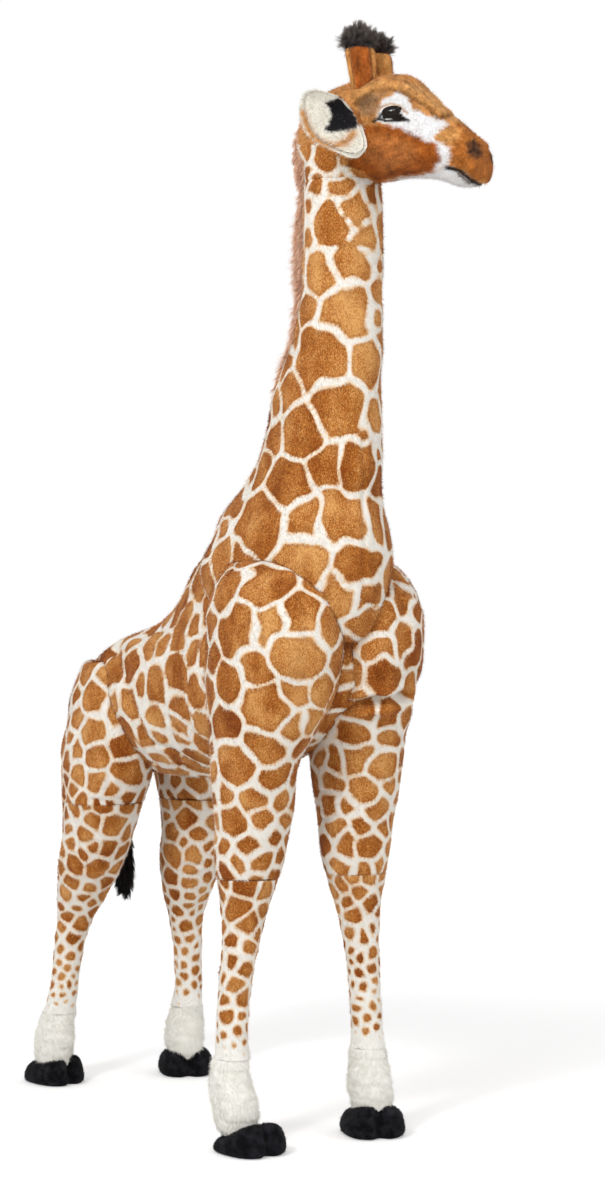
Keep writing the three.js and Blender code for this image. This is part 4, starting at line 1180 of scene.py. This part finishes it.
def paint(colour, soft, strength, *outline):
    """Airbrushes an outline on the enlargement, soft over so many pixels."""
    lay(colour, within(picture, enlarged(*outline), soft) * strength)


def stroke(path, colour, width, strength=1.0):
    lay(colour, np.exp(-((beside(exact, path) / width) ** 4)) * strength)


WHITE, RUSTY, MUZZLE, INK = (0.84, 0.85, 0.87), (0.33, 0.085, 0.01), (0.42, 0.14, 0.025), (0.01, 0.007, 0.006)
# The padded roll, the shade before the ear, the white round the eye and under the jaw, the rusty cheek and its
# paler middle, the muzzle, the tan before it and the nostril's shade
paint((0.6, 0.3, 0.1), 2, 1, (520, 150), (1000, 190), (1250, 380), (1500, 560), (1500, 760), (1380, 560),
      (1180, 460), (1080, 380), (900, 280), (700, 240), (480, 320))
paint((0.2, 0.13, 0.08), 4, 0.7, (480, 300), (560, 260), (700, 260), (620, 330), (620, 420), (500, 430))
paint(WHITE, 2.2, 1, (620, 470), (640, 350), (700, 290), (800, 240), (860, 290), (900, 380), (1060, 440),
      (1180, 490), (1060, 590), (1230, 700), (1180, 800), (1060, 850), (900, 600), (760, 520))
paint(WHITE, 3, 1, (1040, 860), (1180, 800), (1300, 880), (1440, 960), (1440, 1080), (900, 1080), (560, 1000),
      (800, 900))
paint(RUSTY, 3, 1, (480, 500), (700, 500), (820, 520), (900, 570), (1080, 640), (1120, 760), (1050, 860),
      (800, 890), (640, 940), (400, 800))
paint((0.52, 0.19, 0.05), 7, 0.7, (560, 560), (800, 580), (950, 680), (900, 800), (700, 850), (520, 750))
paint(MUZZLE, 3, 1, (1240, 480), (1440, 560), (1520, 700), (1500, 900), (1400, 930), (1280, 830), (1200, 800),
      (1180, 700), (1230, 620))
paint((0.62, 0.3, 0.09), 2.5, 0.8, (1060, 590), (1130, 540), (1290, 530), (1250, 620), (1130, 640))
paint((0.16, 0.05, 0.02), 2.5, 0.8, (1340, 620), (1420, 640), (1430, 730), (1380, 770), (1320, 720))
coat *= 1 + (0.16 * ripple(right, 22 * MM, 85) + 0.12 * ripple(right, 8 * MM, 86))[:, None] * (coat[:, :1] < 0.62)
# The nostril, the shade along the mouth, painted shade in the crease along the roll's edge, the mouth, and the lines
# and the black round the eye
paint((0.1, 0.04, 0.015), 1.2, 0.8, (1320, 640), (1350, 610), (1385, 610), (1430, 700), (1410, 740), (1340, 735))
for path, width in (
    (((1366, 622), (1368, 690)), 1.5), (((1368, 684), (1342, 706)), 1.2), (((1368, 682), (1400, 712)), 1.6),
):
    stroke(enlarged(*path), (0.03, 0.014, 0.008), width, 0.8)
paint((0.08, 0.035, 0.015), 1, 0.8, (1220, 850), (1250, 856), (1350, 925), (1415, 968), (1330, 940), (1250, 885))
# painted shade: a dark line laid into the pressed valley along the padded roll's edge
stroke(ROLL_EDGE + (0, 1), (0.22, 0.1, 0.03), 2.2, 0.6)
stroke(MOUTH, INK, 2.2)
stroke(enlarged((620, 420), (660, 360), (729, 335), (800, 350), (860, 405)), (0.5, 0.27, 0.11), 1.6, 0.75)
stroke(enlarged((603, 475), (640, 447), (678, 391), (729, 367), (784, 389), (830, 438), (872, 464)), INK, 1.4)
stroke(enlarged((640, 453), (707, 466), (795, 464), (850, 458)), INK, 1.3)
paint(INK, 0.8, 1, (645, 448), (680, 395), (729, 372), (784, 394), (828, 440), (848, 457), (795, 464), (707, 466))
collar_share = within(picture, enlarged(
    (-300, 640), (60, 640), (170, 640), (300, 720), (380, 790), (440, 840), (560, 920), (600, 945), (640, 1000),
    (640, 1400), (-300, 1400),
), 0.8)
coat *= (0.9, 0.88, 0.86)
store(head, "coat", coat)
store(head, "nape", collar_share)
print_patches(head, [(323, 158, 9)], 23, 9 * MM, ((1.1, 13 * MM), (1.3, 13 * MM)), 2.2, flip=False, shared=neck_print)


def coat_colour(tree, depth=0.75):
    """The airbrushed coat, mottled by its pile so deep, and less where it is white."""
    painted = node(tree, "ShaderNodeAttribute", attribute_name="coat").outputs["Color"]
    clouds = arithmetic(tree, "MULTIPLY", noise_field(tree, 75), 0.4)
    mixed = arithmetic(
        tree, "ADD", arithmetic(tree, "MULTIPLY", noise_field(tree, 420, stretch=(1, 1, 0.5)), 0.6),
        arithmetic(tree, "MULTIPLY_ADD", attribute(tree, "grain"), 0.05, clouds),
    )
    split = node(tree, "ShaderNodeSeparateColor")
    tree.links.new(painted, split.inputs["Color"])
    share = remap(tree, split.outputs["Blue"], 0.12, 0.5, depth, 0.2 * depth)
    mottle = ramp(tree, mixed, (0.33, (0.62, 0.52, 0.4)), (0.5, (1, 1, 1)), (0.67, (1.3, 1.42, 1.5)))
    return blend_colours(tree, share, painted, blend_colours(tree, 1.0, painted, mottle, "MULTIPLY"))


dress(head, soft_finish("face_plush", lambda tree: blend_colours(
    tree, attribute(tree, "nape"), coat_colour(tree), printed_colour(tree),
)))


def muzzle_way(root):
    """The pile lies from the nose back over the face, and down where the neck's cloth begins."""
    backward = np.array(head_turned @ Vector((0, 1, -0.25)))
    neck_share = np.interp(in_head(root)[:, 1], (-30 * MM, 0), (0, 1))[:, None] * (root[:, 2:] < 1.2)
    return backward * (1 - neck_share) + np.array((0, 0, -1)) * neck_share


SIDES = {"right": -1, "left": 1}
EYE_ACROSS, EYE_FORWARD, EYE_HEIGHT, EYE_CLEAR = 41 * MM, 87.5 * MM, 1.219, 12 * MM
eye_places = {side: from_head(sign * EYE_ACROSS, EYE_FORWARD, EYE_HEIGHT) for side, sign in SIDES.items()}


def off_the_eyes(root):
    clear = np.ones(len(root), bool)
    for place in eye_places.values():
        clear &= np.linalg.norm(root - np.array(place), axis=1) > EYE_CLEAR
    return clear


hand_in(head, [pile(
    "head_pile", head, 520000, 4.5 * MM, 0.75 * MM, muzzle_way, lean=70, seed=140, keep=off_the_eyes,
)], "patterned_fur", ["head_cover", "head_filling"], 0.9, "head")

# Eyes: glossy black plastic buttons pressed into the plush, each held from inside by a pale washer. A button is
# longer than high, and faces a little forwards.
EYE_LONG, EYE_HIGH, EYE_THICK, EYE_SUNK = 16 * MM, 8.8 * MM, 6.2 * MM, 4 * MM
EYE_FACING = math.radians(12)
gloss, tree, shader = new_material("eye_gloss", Roughness=0.03, Specular_IOR_Level=0.14)
depths = ramp(tree, noise_field(tree, 300), (0.3, (0.004, 0.003, 0.003)), (0.8, (0.02, 0.012, 0.008)))
tree.links.new(depths, shader.inputs["Base Color"])
head_skin = bvh_of(head)
for side, sign in SIDES.items():
    outward = (head_turned @ Vector((sign * math.cos(EYE_FACING), -math.sin(EYE_FACING), 0.1))).normalized()
    at = head_skin.ray_cast(eye_places[side] + outward * 0.1, -outward)[0]
    upward = outward.cross(head_turned @ Vector((0, -1, 0.1)).normalized()).normalized()
    along = upward.cross(outward)
    bm = bmesh.new()
    bmesh.ops.create_uvsphere(bm, u_segments=40, v_segments=24, radius=1)
    turn = Matrix((along * EYE_LONG, upward * EYE_HIGH, outward * EYE_THICK)).transposed().to_4x4()
    bmesh.ops.transform(bm, matrix=Matrix.Translation(at - outward * EYE_SUNK) @ turn, verts=bm.verts)
    bmesh.ops.recalc_face_normals(bm, faces=bm.faces)
    eye = finished(f"{side}_eye_button", bm)
    eye.data.shade_smooth()
    dress(eye, gloss)
    hand_in(eye, [], "eye_plastic", [f"{side}_eye"], None, "head")
pale, tree, shader = new_material("washer_plastic", Roughness=0.5)
paleness = ramp(tree, noise_field(tree, 80), (0.3, (0.7, 0.7, 0.67)), (0.7, (0.8, 0.8, 0.78)))
tree.links.new(paleness, shader.inputs["Base Color"])
bump(tree, shader, noise_field(tree, 1500), 0.1 * MM)
for side in SIDES:
    refinish(frame["nodes"][f"{side}_eye_washer"], pale)

# Horns: two stuffed plush tubes that lean back a little, golden with a rust panel in front, sewn to the crown.
# Each ends in a brush of long black pile.
HORN_FORWARD, HORN_SPACING, HORN_LEAN = 38 * MM, 21 * MM, math.tan(math.radians(8))
HORN_FOOT, HORN_TOP, HORN_RADII = 1.237, 1.302, (15 * MM, 18 * MM)
# Each row: share of the height and of the radius
HORN_ROWS = [(0, 0.98), (0.1, 1), (0.35, 0.98), (0.6, 0.97), (0.85, 1), (0.97, 0.97), (1, 0.8)]
PANEL_TURN, PANEL_HALF, PANEL_STITCH = 0.45, 0.85, 0.09  # round the horn from its front, in radians
BRUSH_FOOT, BRUSH_HEIGHT, BRUSH_RADIUS = 1.3024, 16 * MM, 14 * MM
BRUSH_ROWS = [(0, 0.5), (0.03, 0.85), (0.25, 0.97), (0.5, 0.9), (0.75, 0.7), (0.9, 0.45), (0.96, 0.2)]
BRUSH_HAIR = {"right": 18.5 * MM, "left": 16 * MM}


def horn_ring(sign, z, radius):
    at = head_frame @ Vector((sign * HORN_SPACING, (z - CROWN) * HORN_LEAN - HORN_FORWARD, z))
    return at, head_turned @ Vector((radius, 0, 0)), head_turned @ Vector((0, radius, 0))


horn_plush = soft_finish("horn_plush", coat_colour)
brush = soft_finish("black_brush", lambda tree: blend_colours(
    tree, remap(tree, attribute(tree, "tip"), 0.35, 1.0, 0.0, 0.6), ramp(
        tree, noise_field(tree, 260, stretch=(1, 1, 0.4)), (0.35, (0.003, 0.0025, 0.003)), (0.7, (0.05, 0.042, 0.04)),
    ), (0.26, 0.215, 0.19),
), sheen=0.08)
# Long fibres: how their lengths vary, how deep they are rooted, how they sag and taper, and how many are gathered
# into locks at once
HAIR_LENGTHS, HAIR_ROOT, HAIR_SAG, HAIR_TAPER = (0.5, 1.15), 0.5 * MM, np.array((0, 0, -0.25)), 0.36
HAIR_BATCH = 4000


def tuft(
    name, skin, count, length, width, way, spread, seed,
    bend=0.3, steps=3, wild=0.22, locks=0, gather=0.75, measure=None,
):
    """Long fibres from a skin, each a narrow ribbon that tapers and bends. They grow the given way, with a share
    of the skin's own facing and some wildness. Locks gather their tips together."""
    corners, area = triangles(skin)
    rng = np.random.default_rng(seed)
    face = rng.choice(len(area), count, p=area / area.sum())
    share = rng.dirichlet((1, 1, 1), count)[:, :, None]
    own = corners[face]
    root = (places(skin)[own] * share).sum(axis=1)
    up = (facings(skin)[own] * share).sum(axis=1)
    up /= np.linalg.norm(up, axis=1)[:, None]
    given = way(root) if callable(way) else np.tile(way, (count, 1))
    heading = unit(given + up * spread + rng.normal(0, wild, (count, 3)))
    sag = rng.normal(0, bend, (count, 3)) + HAIR_SAG * bend
    long = (length * rng.uniform(*HAIR_LENGTHS, count))[:, None]
    if measure is not None:
        long *= measure(root)[:, None]
    across = unit(np.cross(heading, rng.normal(size=(count, 3))))
    spines = [root - up * HAIR_ROOT]
    for _ in range(steps):
        heading = unit(heading + sag / steps)
        spines.append(spines[-1] + heading * long / steps)
    if locks:
        lead = np.empty(count, int)
        for start in range(0, count, HAIR_BATCH):
            part = slice(start, start + HAIR_BATCH)
            lead[part] = ((root[part, None] - root[None, :locks]) ** 2).sum(axis=2).argmin(axis=1)
        for step in range(1, steps + 1):
            spines[step] = mix(spines[step], spines[step][lead], gather * step / steps)
    rows, faces = [], [(2 * steps - 2, 2 * steps - 1, 2 * steps)]
    for step in range(steps):
        half = across * width * (0.5 - HAIR_TAPER * step / steps)
        rows += [spines[step] - half, spines[step] + half]
    for first in range(2 * steps - 4, -1, -2):
        faces[:0] = [(first, first + 1, first + 3), (first, first + 3, first + 2)]
    verts = np.stack([*rows, spines[steps]], axis=1).reshape(-1, 3)
    faces = (np.array(faces)[None] + (np.arange(count) * (2 * steps + 1))[:, None, None]).reshape(-1, 3)
    made = strands(name, skin, verts, faces)
    store(made, "tip", np.tile(np.concatenate([np.repeat(np.arange(steps) / steps, 2), [1]]), count))
    return made


for side, sign in SIDES.items():
    horn = loft(f"{side}_horn", [
        horn_ring(sign, mix(HORN_FOOT, HORN_TOP, up), mix(*HORN_RADII, up) * share) for up, share in HORN_ROWS
    ], sides=24)
    cut_by(horn, head, gap=0.2 * MM)
    local = in_head(places(horn))
    front = local[:, 1] - ((local[:, 2] - CROWN) * HORN_LEAN - HORN_FORWARD)
    turned = np.arctan2(-front, sign * (local[:, 0] - sign * HORN_SPACING)) - PANEL_TURN
    panel = np.exp(-((turned / PANEL_HALF) ** 8))[:, None]
    stitched = np.exp(-(((abs(turned) - PANEL_HALF) / PANEL_STITCH) ** 2))[:, None]
    colours = np.array((0.6, 0.28, 0.08)) * (1 - panel) + np.array((0.33, 0.085, 0.013)) * panel
    colours *= 1 + 0.22 * ripple(places(horn) * (1, 1, 0.4), 12 * MM, 87)[:, None]
    store(horn, "coat", colours * (1 - 0.5 * stitched) + np.array((0.09, 0.03, 0.01)) * 0.5 * stitched)
    move_to(horn, places(horn) - facings(horn) * 1.6 * MM * stitched)
    dress(horn, horn_plush)
    horn_pile = pile(f"{side}_horn_pile", horn, 500000, 4.5 * MM, 0.75 * MM, lean=68, seed=150 + sign)
    hand_in(horn, [horn_pile], "patterned_fur", [f"{side}_horn_cover", f"{side}_horn_filling"], 0.9, "head")
    core = loft(f"{side}_horn_brush", [
        horn_ring(sign, BRUSH_FOOT + BRUSH_HEIGHT * up, BRUSH_RADIUS * share) for up, share in BRUSH_ROWS
    ], sides=16)
    dress(core, brush)
    hair = tuft(
        f"{side}_horn_brush_hair", core, 8000, BRUSH_HAIR[side], 0.55 * MM, (0, 0, 0.8), 0.75, 160 + sign,
        bend=0.2, wild=0.5, locks=330, gather=0.85,
    )
    hand_in(core, [hair], "black_fur", [f"{side}_horn_tuft"], 0.9, "head")

# Ears: cupped leaves of cream plush, gathered at the root where they are sewn to the head, each with
# a lining that is orange along the rim and black deep in the cup.
EAR_LENGTH, EAR_HALF_WIDTH, EAR_SEWN = 84 * MM, 36 * MM, 24 * MM
EAR_FACING = Vector((0.9828, 0, 0.1846))
EAR_FORWARD, EAR_DROOP = math.radians(28), math.radians(25)
# Each row: share of the length, of the half width and of the thickness
EAR_ROWS = [
    (0, 0.12, 0.35), (0.08, 0.5, 0.75), (0.2, 0.82, 1), (0.42, 1, 1), (0.62, 0.98, 1), (0.8, 0.82, 0.9),
    (0.93, 0.52, 0.7), (1, 0.2, 0.4),
]


def ear_frame(side):
    """The ear's own directions, up across it, through it to the front and out to its tip."""
    axis = Vector((-EAR_FACING.z, 0, EAR_FACING.x))
    outward = Matrix.Rotation(EAR_FORWARD, 3, axis) @ EAR_FACING
    forward = outward.cross(axis)
    droop = Matrix.Rotation(-EAR_DROOP, 3, forward)
    columns = [droop @ axis, forward, droop @ outward]
    if side == "right":
        columns = [Vector((-c.x, c.y, c.z)) for c in columns]
    hinge = next(j for j in frame["joints"] if j["name"] == f"{side}_ear_flop")
    turned = Matrix([head_turned @ c for c in columns]).transposed().to_4x4()
    return Matrix.Translation(Vector(hinge["pos_m"])) @ turned


# On the enlargement of the head: the lining's orange rim, its black patch and the brown at the root
EAR_BAND = enlarged((60, 400), (110, 540), (180, 620), (300, 660), (400, 625), (450, 560))
EAR_DARK = enlarged(
    (230, 330), (300, 300), (340, 285), (400, 330), (440, 390), (480, 470), (470, 520), (400, 530), (290, 555),
    (220, 530), (270, 480), (280, 400),
)
EAR_ROOT = enlarged(
    (300, 180), (342, 285), (408, 340), (452, 420), (472, 500), (600, 510), (600, 180),
)
# Each row, in pixels: a place in the picture, how far round it the ear is shaped, and how far right and down
EAR_SHAPING = [(300, 128, 17, 3, -1), (314, 99, 13, -6, -3), (338, 88, 15, -2, 8), (356, 98, 14, -6, 4)]
EAR_LOBE_AT, EAR_LOBE, EAR_TOP = 0.4, 0.34, 0.88  # where and how much the lower edge is fuller, and the upper less
EAR_CUP, EAR_CURL = 20 * MM, 6 * MM


def leaf(name, side, width, thickness, lift, start, end):
    place = ear_frame(side)
    made = loft(name, [
        level_ring(0, lift, mix(start, end, along), width * wide, thickness / 2 * thick)
        for along, wide, thick in fair(EAR_ROWS)
    ], sides=48, levels=1)
    points = places(made)
    across, out = points[:, 0] / EAR_HALF_WIDTH, points[:, 2] / EAR_LENGTH
    lobe = np.exp(-(((out - EAR_LOBE_AT) / 0.4) ** 2))
    points[:, 0] *= np.where(across < 0, 1 + EAR_LOBE * lobe, EAR_TOP)
    points[:, 1] += EAR_CUP * np.minimum((points[:, 0] / EAR_HALF_WIDTH) ** 2, 1.35) - EAR_CURL * out**2
    move_to(made, points)
    made.data.transform(place)
    if side == "right":
        made.data.flip_normals()
    made.data.update()
    for shaping in (*EAR_SHAPING, (352, 152, 22, 0, 6 if side == "right" else -3)):
        pull(made, *shaping)
    return made


ear_coat = soft_finish("ear_plush", lambda tree: coat_colour(tree, depth=0.2))
for side, sign in SIDES.items():
    place = ear_frame(side)
    forward, outward = (np.array(place.to_3x3() @ Vector(way)) for way in ((0, 1, 0), (0, 0, 1)))
    back = leaf(f"{side}_ear_shell", side, EAR_HALF_WIDTH, 6 * MM, 0, 0, EAR_LENGTH)
    lining = leaf(
        f"{side}_ear_inside", side, EAR_HALF_WIDTH * 0.9, 2.4 * MM, 4.4 * MM, EAR_LENGTH * 0.1, EAR_LENGTH * 0.9,
    )
    # Where the ear would show from the camera, as the right one does
    for piece in (back, lining):
        picture = seen(near_side(places(piece)))
        picture += np.stack([0.8 * ripple(places(piece), 6 * MM, seed) for seed in (91, 92)], axis=1)
        band = np.exp(-((beside(picture, EAR_BAND) / 4) ** 2))[:, None] * 0.95
        band *= (facings(piece) @ forward > 0)[:, None]
        dark = within(picture, EAR_DARK, 0.9)[:, None] * (piece is lining)
        rooted = within(picture, EAR_ROOT, 1.2)[:, None] * (1 - dark)
        colours = np.array((0.8, 0.765, 0.68)) * (1 - band) + np.array((0.56, 0.25, 0.05)) * band
        colours = colours * (1 - rooted) + np.array((0.4, 0.15, 0.035)) * rooted
        store(piece, "coat", colours * (1 - dark) + np.array((0.006, 0.005, 0.007)) * dark)
    root = {"start": place.translation, "end": place.translation + Vector(outward) * EAR_SEWN}
    for piece, long, seed, node_name, fill in (
        (back, 5, 170, "ear_back", 0.7), (lining, 5.5, 180, "ear_lining", None),
    ):
        dress(piece, ear_coat)
        fibres = pile(f"{piece.name}_pile", piece, 600000, long * MM, 0.7 * MM, comb=tuple(outward), seed=seed + sign)
        hand_in(piece, [fibres], "cream_fur", [f"{side}_{node_name}"], fill, "head", f"{side}_ear", **root)

# Mane: a strip of long reddish-brown pile let into the seam at the back of the neck, winding to the
# animal's right as its head turns left, with a short crest of it up the back of the head.
maned = soft_finish("mane_pile", lambda tree: ramp(
    tree, noise_field(tree, 260, stretch=(1, 1, 0.25)),
    (0.22, (0.42, 0.2, 0.115)), (0.45, (0.74, 0.45, 0.3)), (0.75, (0.95, 0.74, 0.58)),
), sheen=0.25)
MANE_LENGTH, MANE_HALF_THICKNESS, MANE_DEPTH, MANE_CREST = 350 * MM, 5 * MM, 14 * MM, 88 * MM
MANE_SEWN = 4 * MM  # how deep the strip sits in the seam
# How long the mane is at heights up the neck, as shares of 19 mm
MANE_HEIGHTS, MANE_LENGTHS = (0.8, 0.88, 0.95, 1.05, 1.12, 1.17), (0.25, 0.5, 1.1, 1.25, 1, 0.7)


def neck_at(z):
    """The neck's middle, half width and half length at a height."""
    rings = [neck_ring(row) for row in fair(NECK_ROWS)]
    heights = [ring[0].z for ring in rings]
    return [
        np.interp(z, heights, values)
        for values in ([r[0].y for r in rings], [r[1].x for r in rings], [r[2].y for r in rings])
    ]


def mane_ring(z, share, on_head=False):
    if on_head:
        rise = math.sin(math.pi * (z - neck_top) / MANE_CREST)
        y, wide, long, turn = front_y + NECK_Y, NECK_RADIUS, mix(NECK_RADIUS, HEAD_BACK, rise), HEAD_TURN
    else:
        y, wide, long = neck_at(z)
        turn = HEAD_TURN * (z - NECK_FOOT) / (neck_top - NECK_FOOT)
    across = Vector((math.cos(turn), math.sin(turn), 0))
    backward = Vector((-math.sin(turn), math.cos(turn), 0))
    reach = long if on_head else 1 / math.hypot(backward.x / wide, backward.y / long)
    depth = MANE_DEPTH * share + MANE_SEWN
    at = Vector((0, y, z)) + backward * (reach - MANE_SEWN + depth / 2)
    return at, across * MANE_HALF_THICKNESS, backward * (depth / 2)


def backward_and_down(root):
    turn = HEAD_TURN * np.clip((root[:, 2] - NECK_FOOT) / (neck_top - NECK_FOOT), 0, 1)
    return np.stack([-np.sin(turn) * 0.55, np.cos(turn) * 0.55, np.full(len(root), -1.0)], axis=1)


def mane_length(root):
    return np.interp(root[:, 2], MANE_HEIGHTS, MANE_LENGTHS)


mane_strip = loft("mane_strip", [
    mane_ring(
        mix(neck_top - MANE_LENGTH, neck_top - 0.4 * MM, up),
        min(0.95, max(0.12, 2 * (up - 0.25)), 0.5 + 3 * (1 - up)),
    )
    for up in np.linspace(0, 1, 28)
], sides=12, levels=1)
cut_by(mane_strip, neck, gap=0.3 * MM)
crest_strip = loft("mane_crest_strip", [
    mane_ring(mix(neck_top + 0.4 * MM, neck_top + MANE_CREST, up), min(0.7, 0.1 + 1.8 * (1 - up)), on_head=True)
    for up in np.linspace(0, 1, 10)
], sides=12, levels=1)
cut_by(crest_strip, head, gap=0.3 * MM)
for strip, count, seed, node_name, bodies, turn in (
    (mane_strip, 22000, 190, "mane", ["root", "head"], neck_twist),
    (crest_strip, 8000, 191, "mane_crest", ["head"], {}),
):
    dress(strip, maned)
    hair = tuft(
        f"{strip.name}_hair", strip, count, 19 * MM, 0.8 * MM, backward_and_down, 0.42, seed,
        locks=count // 14, gather=0.65, measure=mane_length,
    )
    hand_in(strip, [hair], "mane_fur", [node_name], 0.5, *bodies, **turn)

# Tail: a gathered knob of plush sewn on the rump, a thin tail of the printed plush that hangs from it, softly
# stuffed, and a tuft of long black pile sewn into its tip.
TAIL_LENGTH, TAIL_SWEEP, TAIL_RADIUS = 290 * MM, 24 * MM, 8 * MM
TAIL_TUFT_LENGTH, TAIL_TUFT_RADIUS = 98 * MM, 12 * MM
tail_top, tail_tip = tail_at.z - 8.4 * MM, tail_at.z - TAIL_LENGTH
tuft_top = tail_tip + TAIL_TUFT_LENGTH
# Each row: share of the way down and of the radius
TAIL_ROWS = [(0, 0.3), (0.02, 0.6), (0.06, 0.9), (0.3, 1), (0.65, 0.9), (0.97, 0.75), (1, 0.5)]
TAIL_TUFT_ROWS = [(0, 0.3), (0.04, 0.6), (0.15, 0.8), (0.45, 0.9), (0.75, 0.75), (0.95, 0.35), (1, 0.1)]
KNOB_STEPS = np.radians((-86, -65, -40, -15, 15, 40, 65, 86))


def tail_ring(z, radius):
    fallen = (tail_top - z) / (tail_top - tail_tip)
    return level_ring(0, tail_at.y - TAIL_SWEEP * fallen**2, z, radius, radius)


tail = loft("tail_strand", [
    tail_ring(mix(tail_top, tuft_top + 0.4 * MM, down), TAIL_RADIUS * share) for down, share in fair(TAIL_ROWS)
][::-1], sides=20, levels=1)
knob = loft("tail_knob", [
    (tail_at + Vector((0, 0, TAIL_RADIUS * math.sin(t))), *level_ring(0, 0, 0, *[TAIL_RADIUS * math.cos(t)] * 2)[1:])
    for t in KNOB_STEPS
], sides=20, levels=1)
brush_core = loft("tail_brush", [
    tail_ring(mix(tuft_top, tail_tip + 10 * MM, down), TAIL_TUFT_RADIUS * share)
    for down, share in fair(TAIL_TUFT_ROWS, 2)
][::-1], sides=16, levels=1)
for piece, body, nodes, seed in (
    (knob, "tail_root", ["tail_root"], 200), (tail, "tail", ["tail_cover", "tail_filling"], 201),
):
    print_patches(piece, [], seed, 5 * MM, ((0.2, 7 * MM), (0.6, 9 * MM)), 1.5, flip=False)
    dress(piece, printed)
    fibres = pile(f"{piece.name}_pile", piece, 500000, 4.5 * MM, 0.7 * MM, seed=seed)
    hand_in(piece, [fibres], "patterned_fur", nodes, 0.9, body)
cut_by(torso, knob, gap=0.4 * MM)
dress(brush_core, soft_finish("tail_hair", lambda tree: ramp(
    tree, noise_field(tree, 260, stretch=(1, 1, 0.3)), (0.35, (0.002, 0.002, 0.002)), (0.75, (0.028, 0.024, 0.023)),
), sheen=0.05))
brush_hair = tuft(
    "tail_brush_hair", brush_core, 12000, 22 * MM, 0.6 * MM, (0, 0, -1), 0.22, 202, bend=0.15, locks=700,
)
hand_in(brush_core, [brush_hair], "black_fur", ["tail_tuft"], 0.8, "tail")

# Studio: a white floor that keeps a soft shadow, a white surround and large soft lamps. The camera and clear
# reflections see floor and surround brighter than they light the animal.
WORLD_LEVEL = 0.75


def seen_directly(tree):
    """1 for the rays of the camera, of clear reflections and through glass, 0 for others."""
    rays = node(tree, "ShaderNodeLightPath").outputs
    mirrored = arithmetic(tree, "MAXIMUM", rays["Is Glossy Ray"], rays["Is Transmission Ray"])
    return arithmetic(tree, "MAXIMUM", rays["Is Camera Ray"], mirrored)


bm = bmesh.new()
bmesh.ops.create_grid(bm, x_segments=4, y_segments=4, size=12)
floor = finished("floor", bm)
paper, tree, shader = new_material(
    "white_paper", Base_Color=(0.8, 0.8, 0.8, 1), Roughness=0.9, Specular_IOR_Level=0.1,
)
distance = node(tree, "ShaderNodeVectorMath", operation="LENGTH")
tree.links.new(node(tree, "ShaderNodeTexCoord").outputs["Object"], distance.inputs[0])
paleness = remap(tree, distance.outputs["Value"], 0.7, 2.4, 0.3, 0.55)
glow = node(tree, "ShaderNodeEmission", {"Color": (1, 1, 1, 1)})
both = node(tree, "ShaderNodeAddShader")
tree.links.new(arithmetic(tree, "MULTIPLY", seen_directly(tree), paleness), glow.inputs["Strength"])
tree.links.new(shader.outputs["BSDF"], both.inputs[0])
tree.links.new(glow.outputs["Emission"], both.inputs[1])
tree.links.new(both.outputs["Shader"], tree.nodes["Material Output"].inputs["Surface"])
dress(floor, paper)

world = bpy.data.worlds.new("studio")
scene.world = world
world.use_nodes = True
sky = world.node_tree
background = sky.nodes["Background"].inputs
background["Color"].default_value = (1, 1, 1, 1)
level = arithmetic(sky, "MULTIPLY_ADD", seen_directly(sky), 1 - WORLD_LEVEL, WORLD_LEVEL)
sky.links.new(level, background["Strength"])


def soft_lamp(name, at, towards, size, power):
    light = bpy.data.lights.new(name, "AREA")
    light.energy, light.size, light.shape = power, size, "DISK"
    made = bpy.data.objects.new(name, light)
    made.location = at
    made.rotation_euler = (Vector(towards) - Vector(at)).to_track_quat("-Z", "Y").to_euler()
    scene.collection.objects.link(made)


soft_lamp("key_light", (-2.6, -1.6, 2.6), (0, 0, 0.7), 1.4, 38)
soft_lamp("eye_light", (-2.3, -1.35, 2.35), (0, 0, 0.9), 0.4, 23)
soft_lamp("fill_light", (1.6, -2.8, 1.6), (0, 0, 0.7), 1.6, 18)
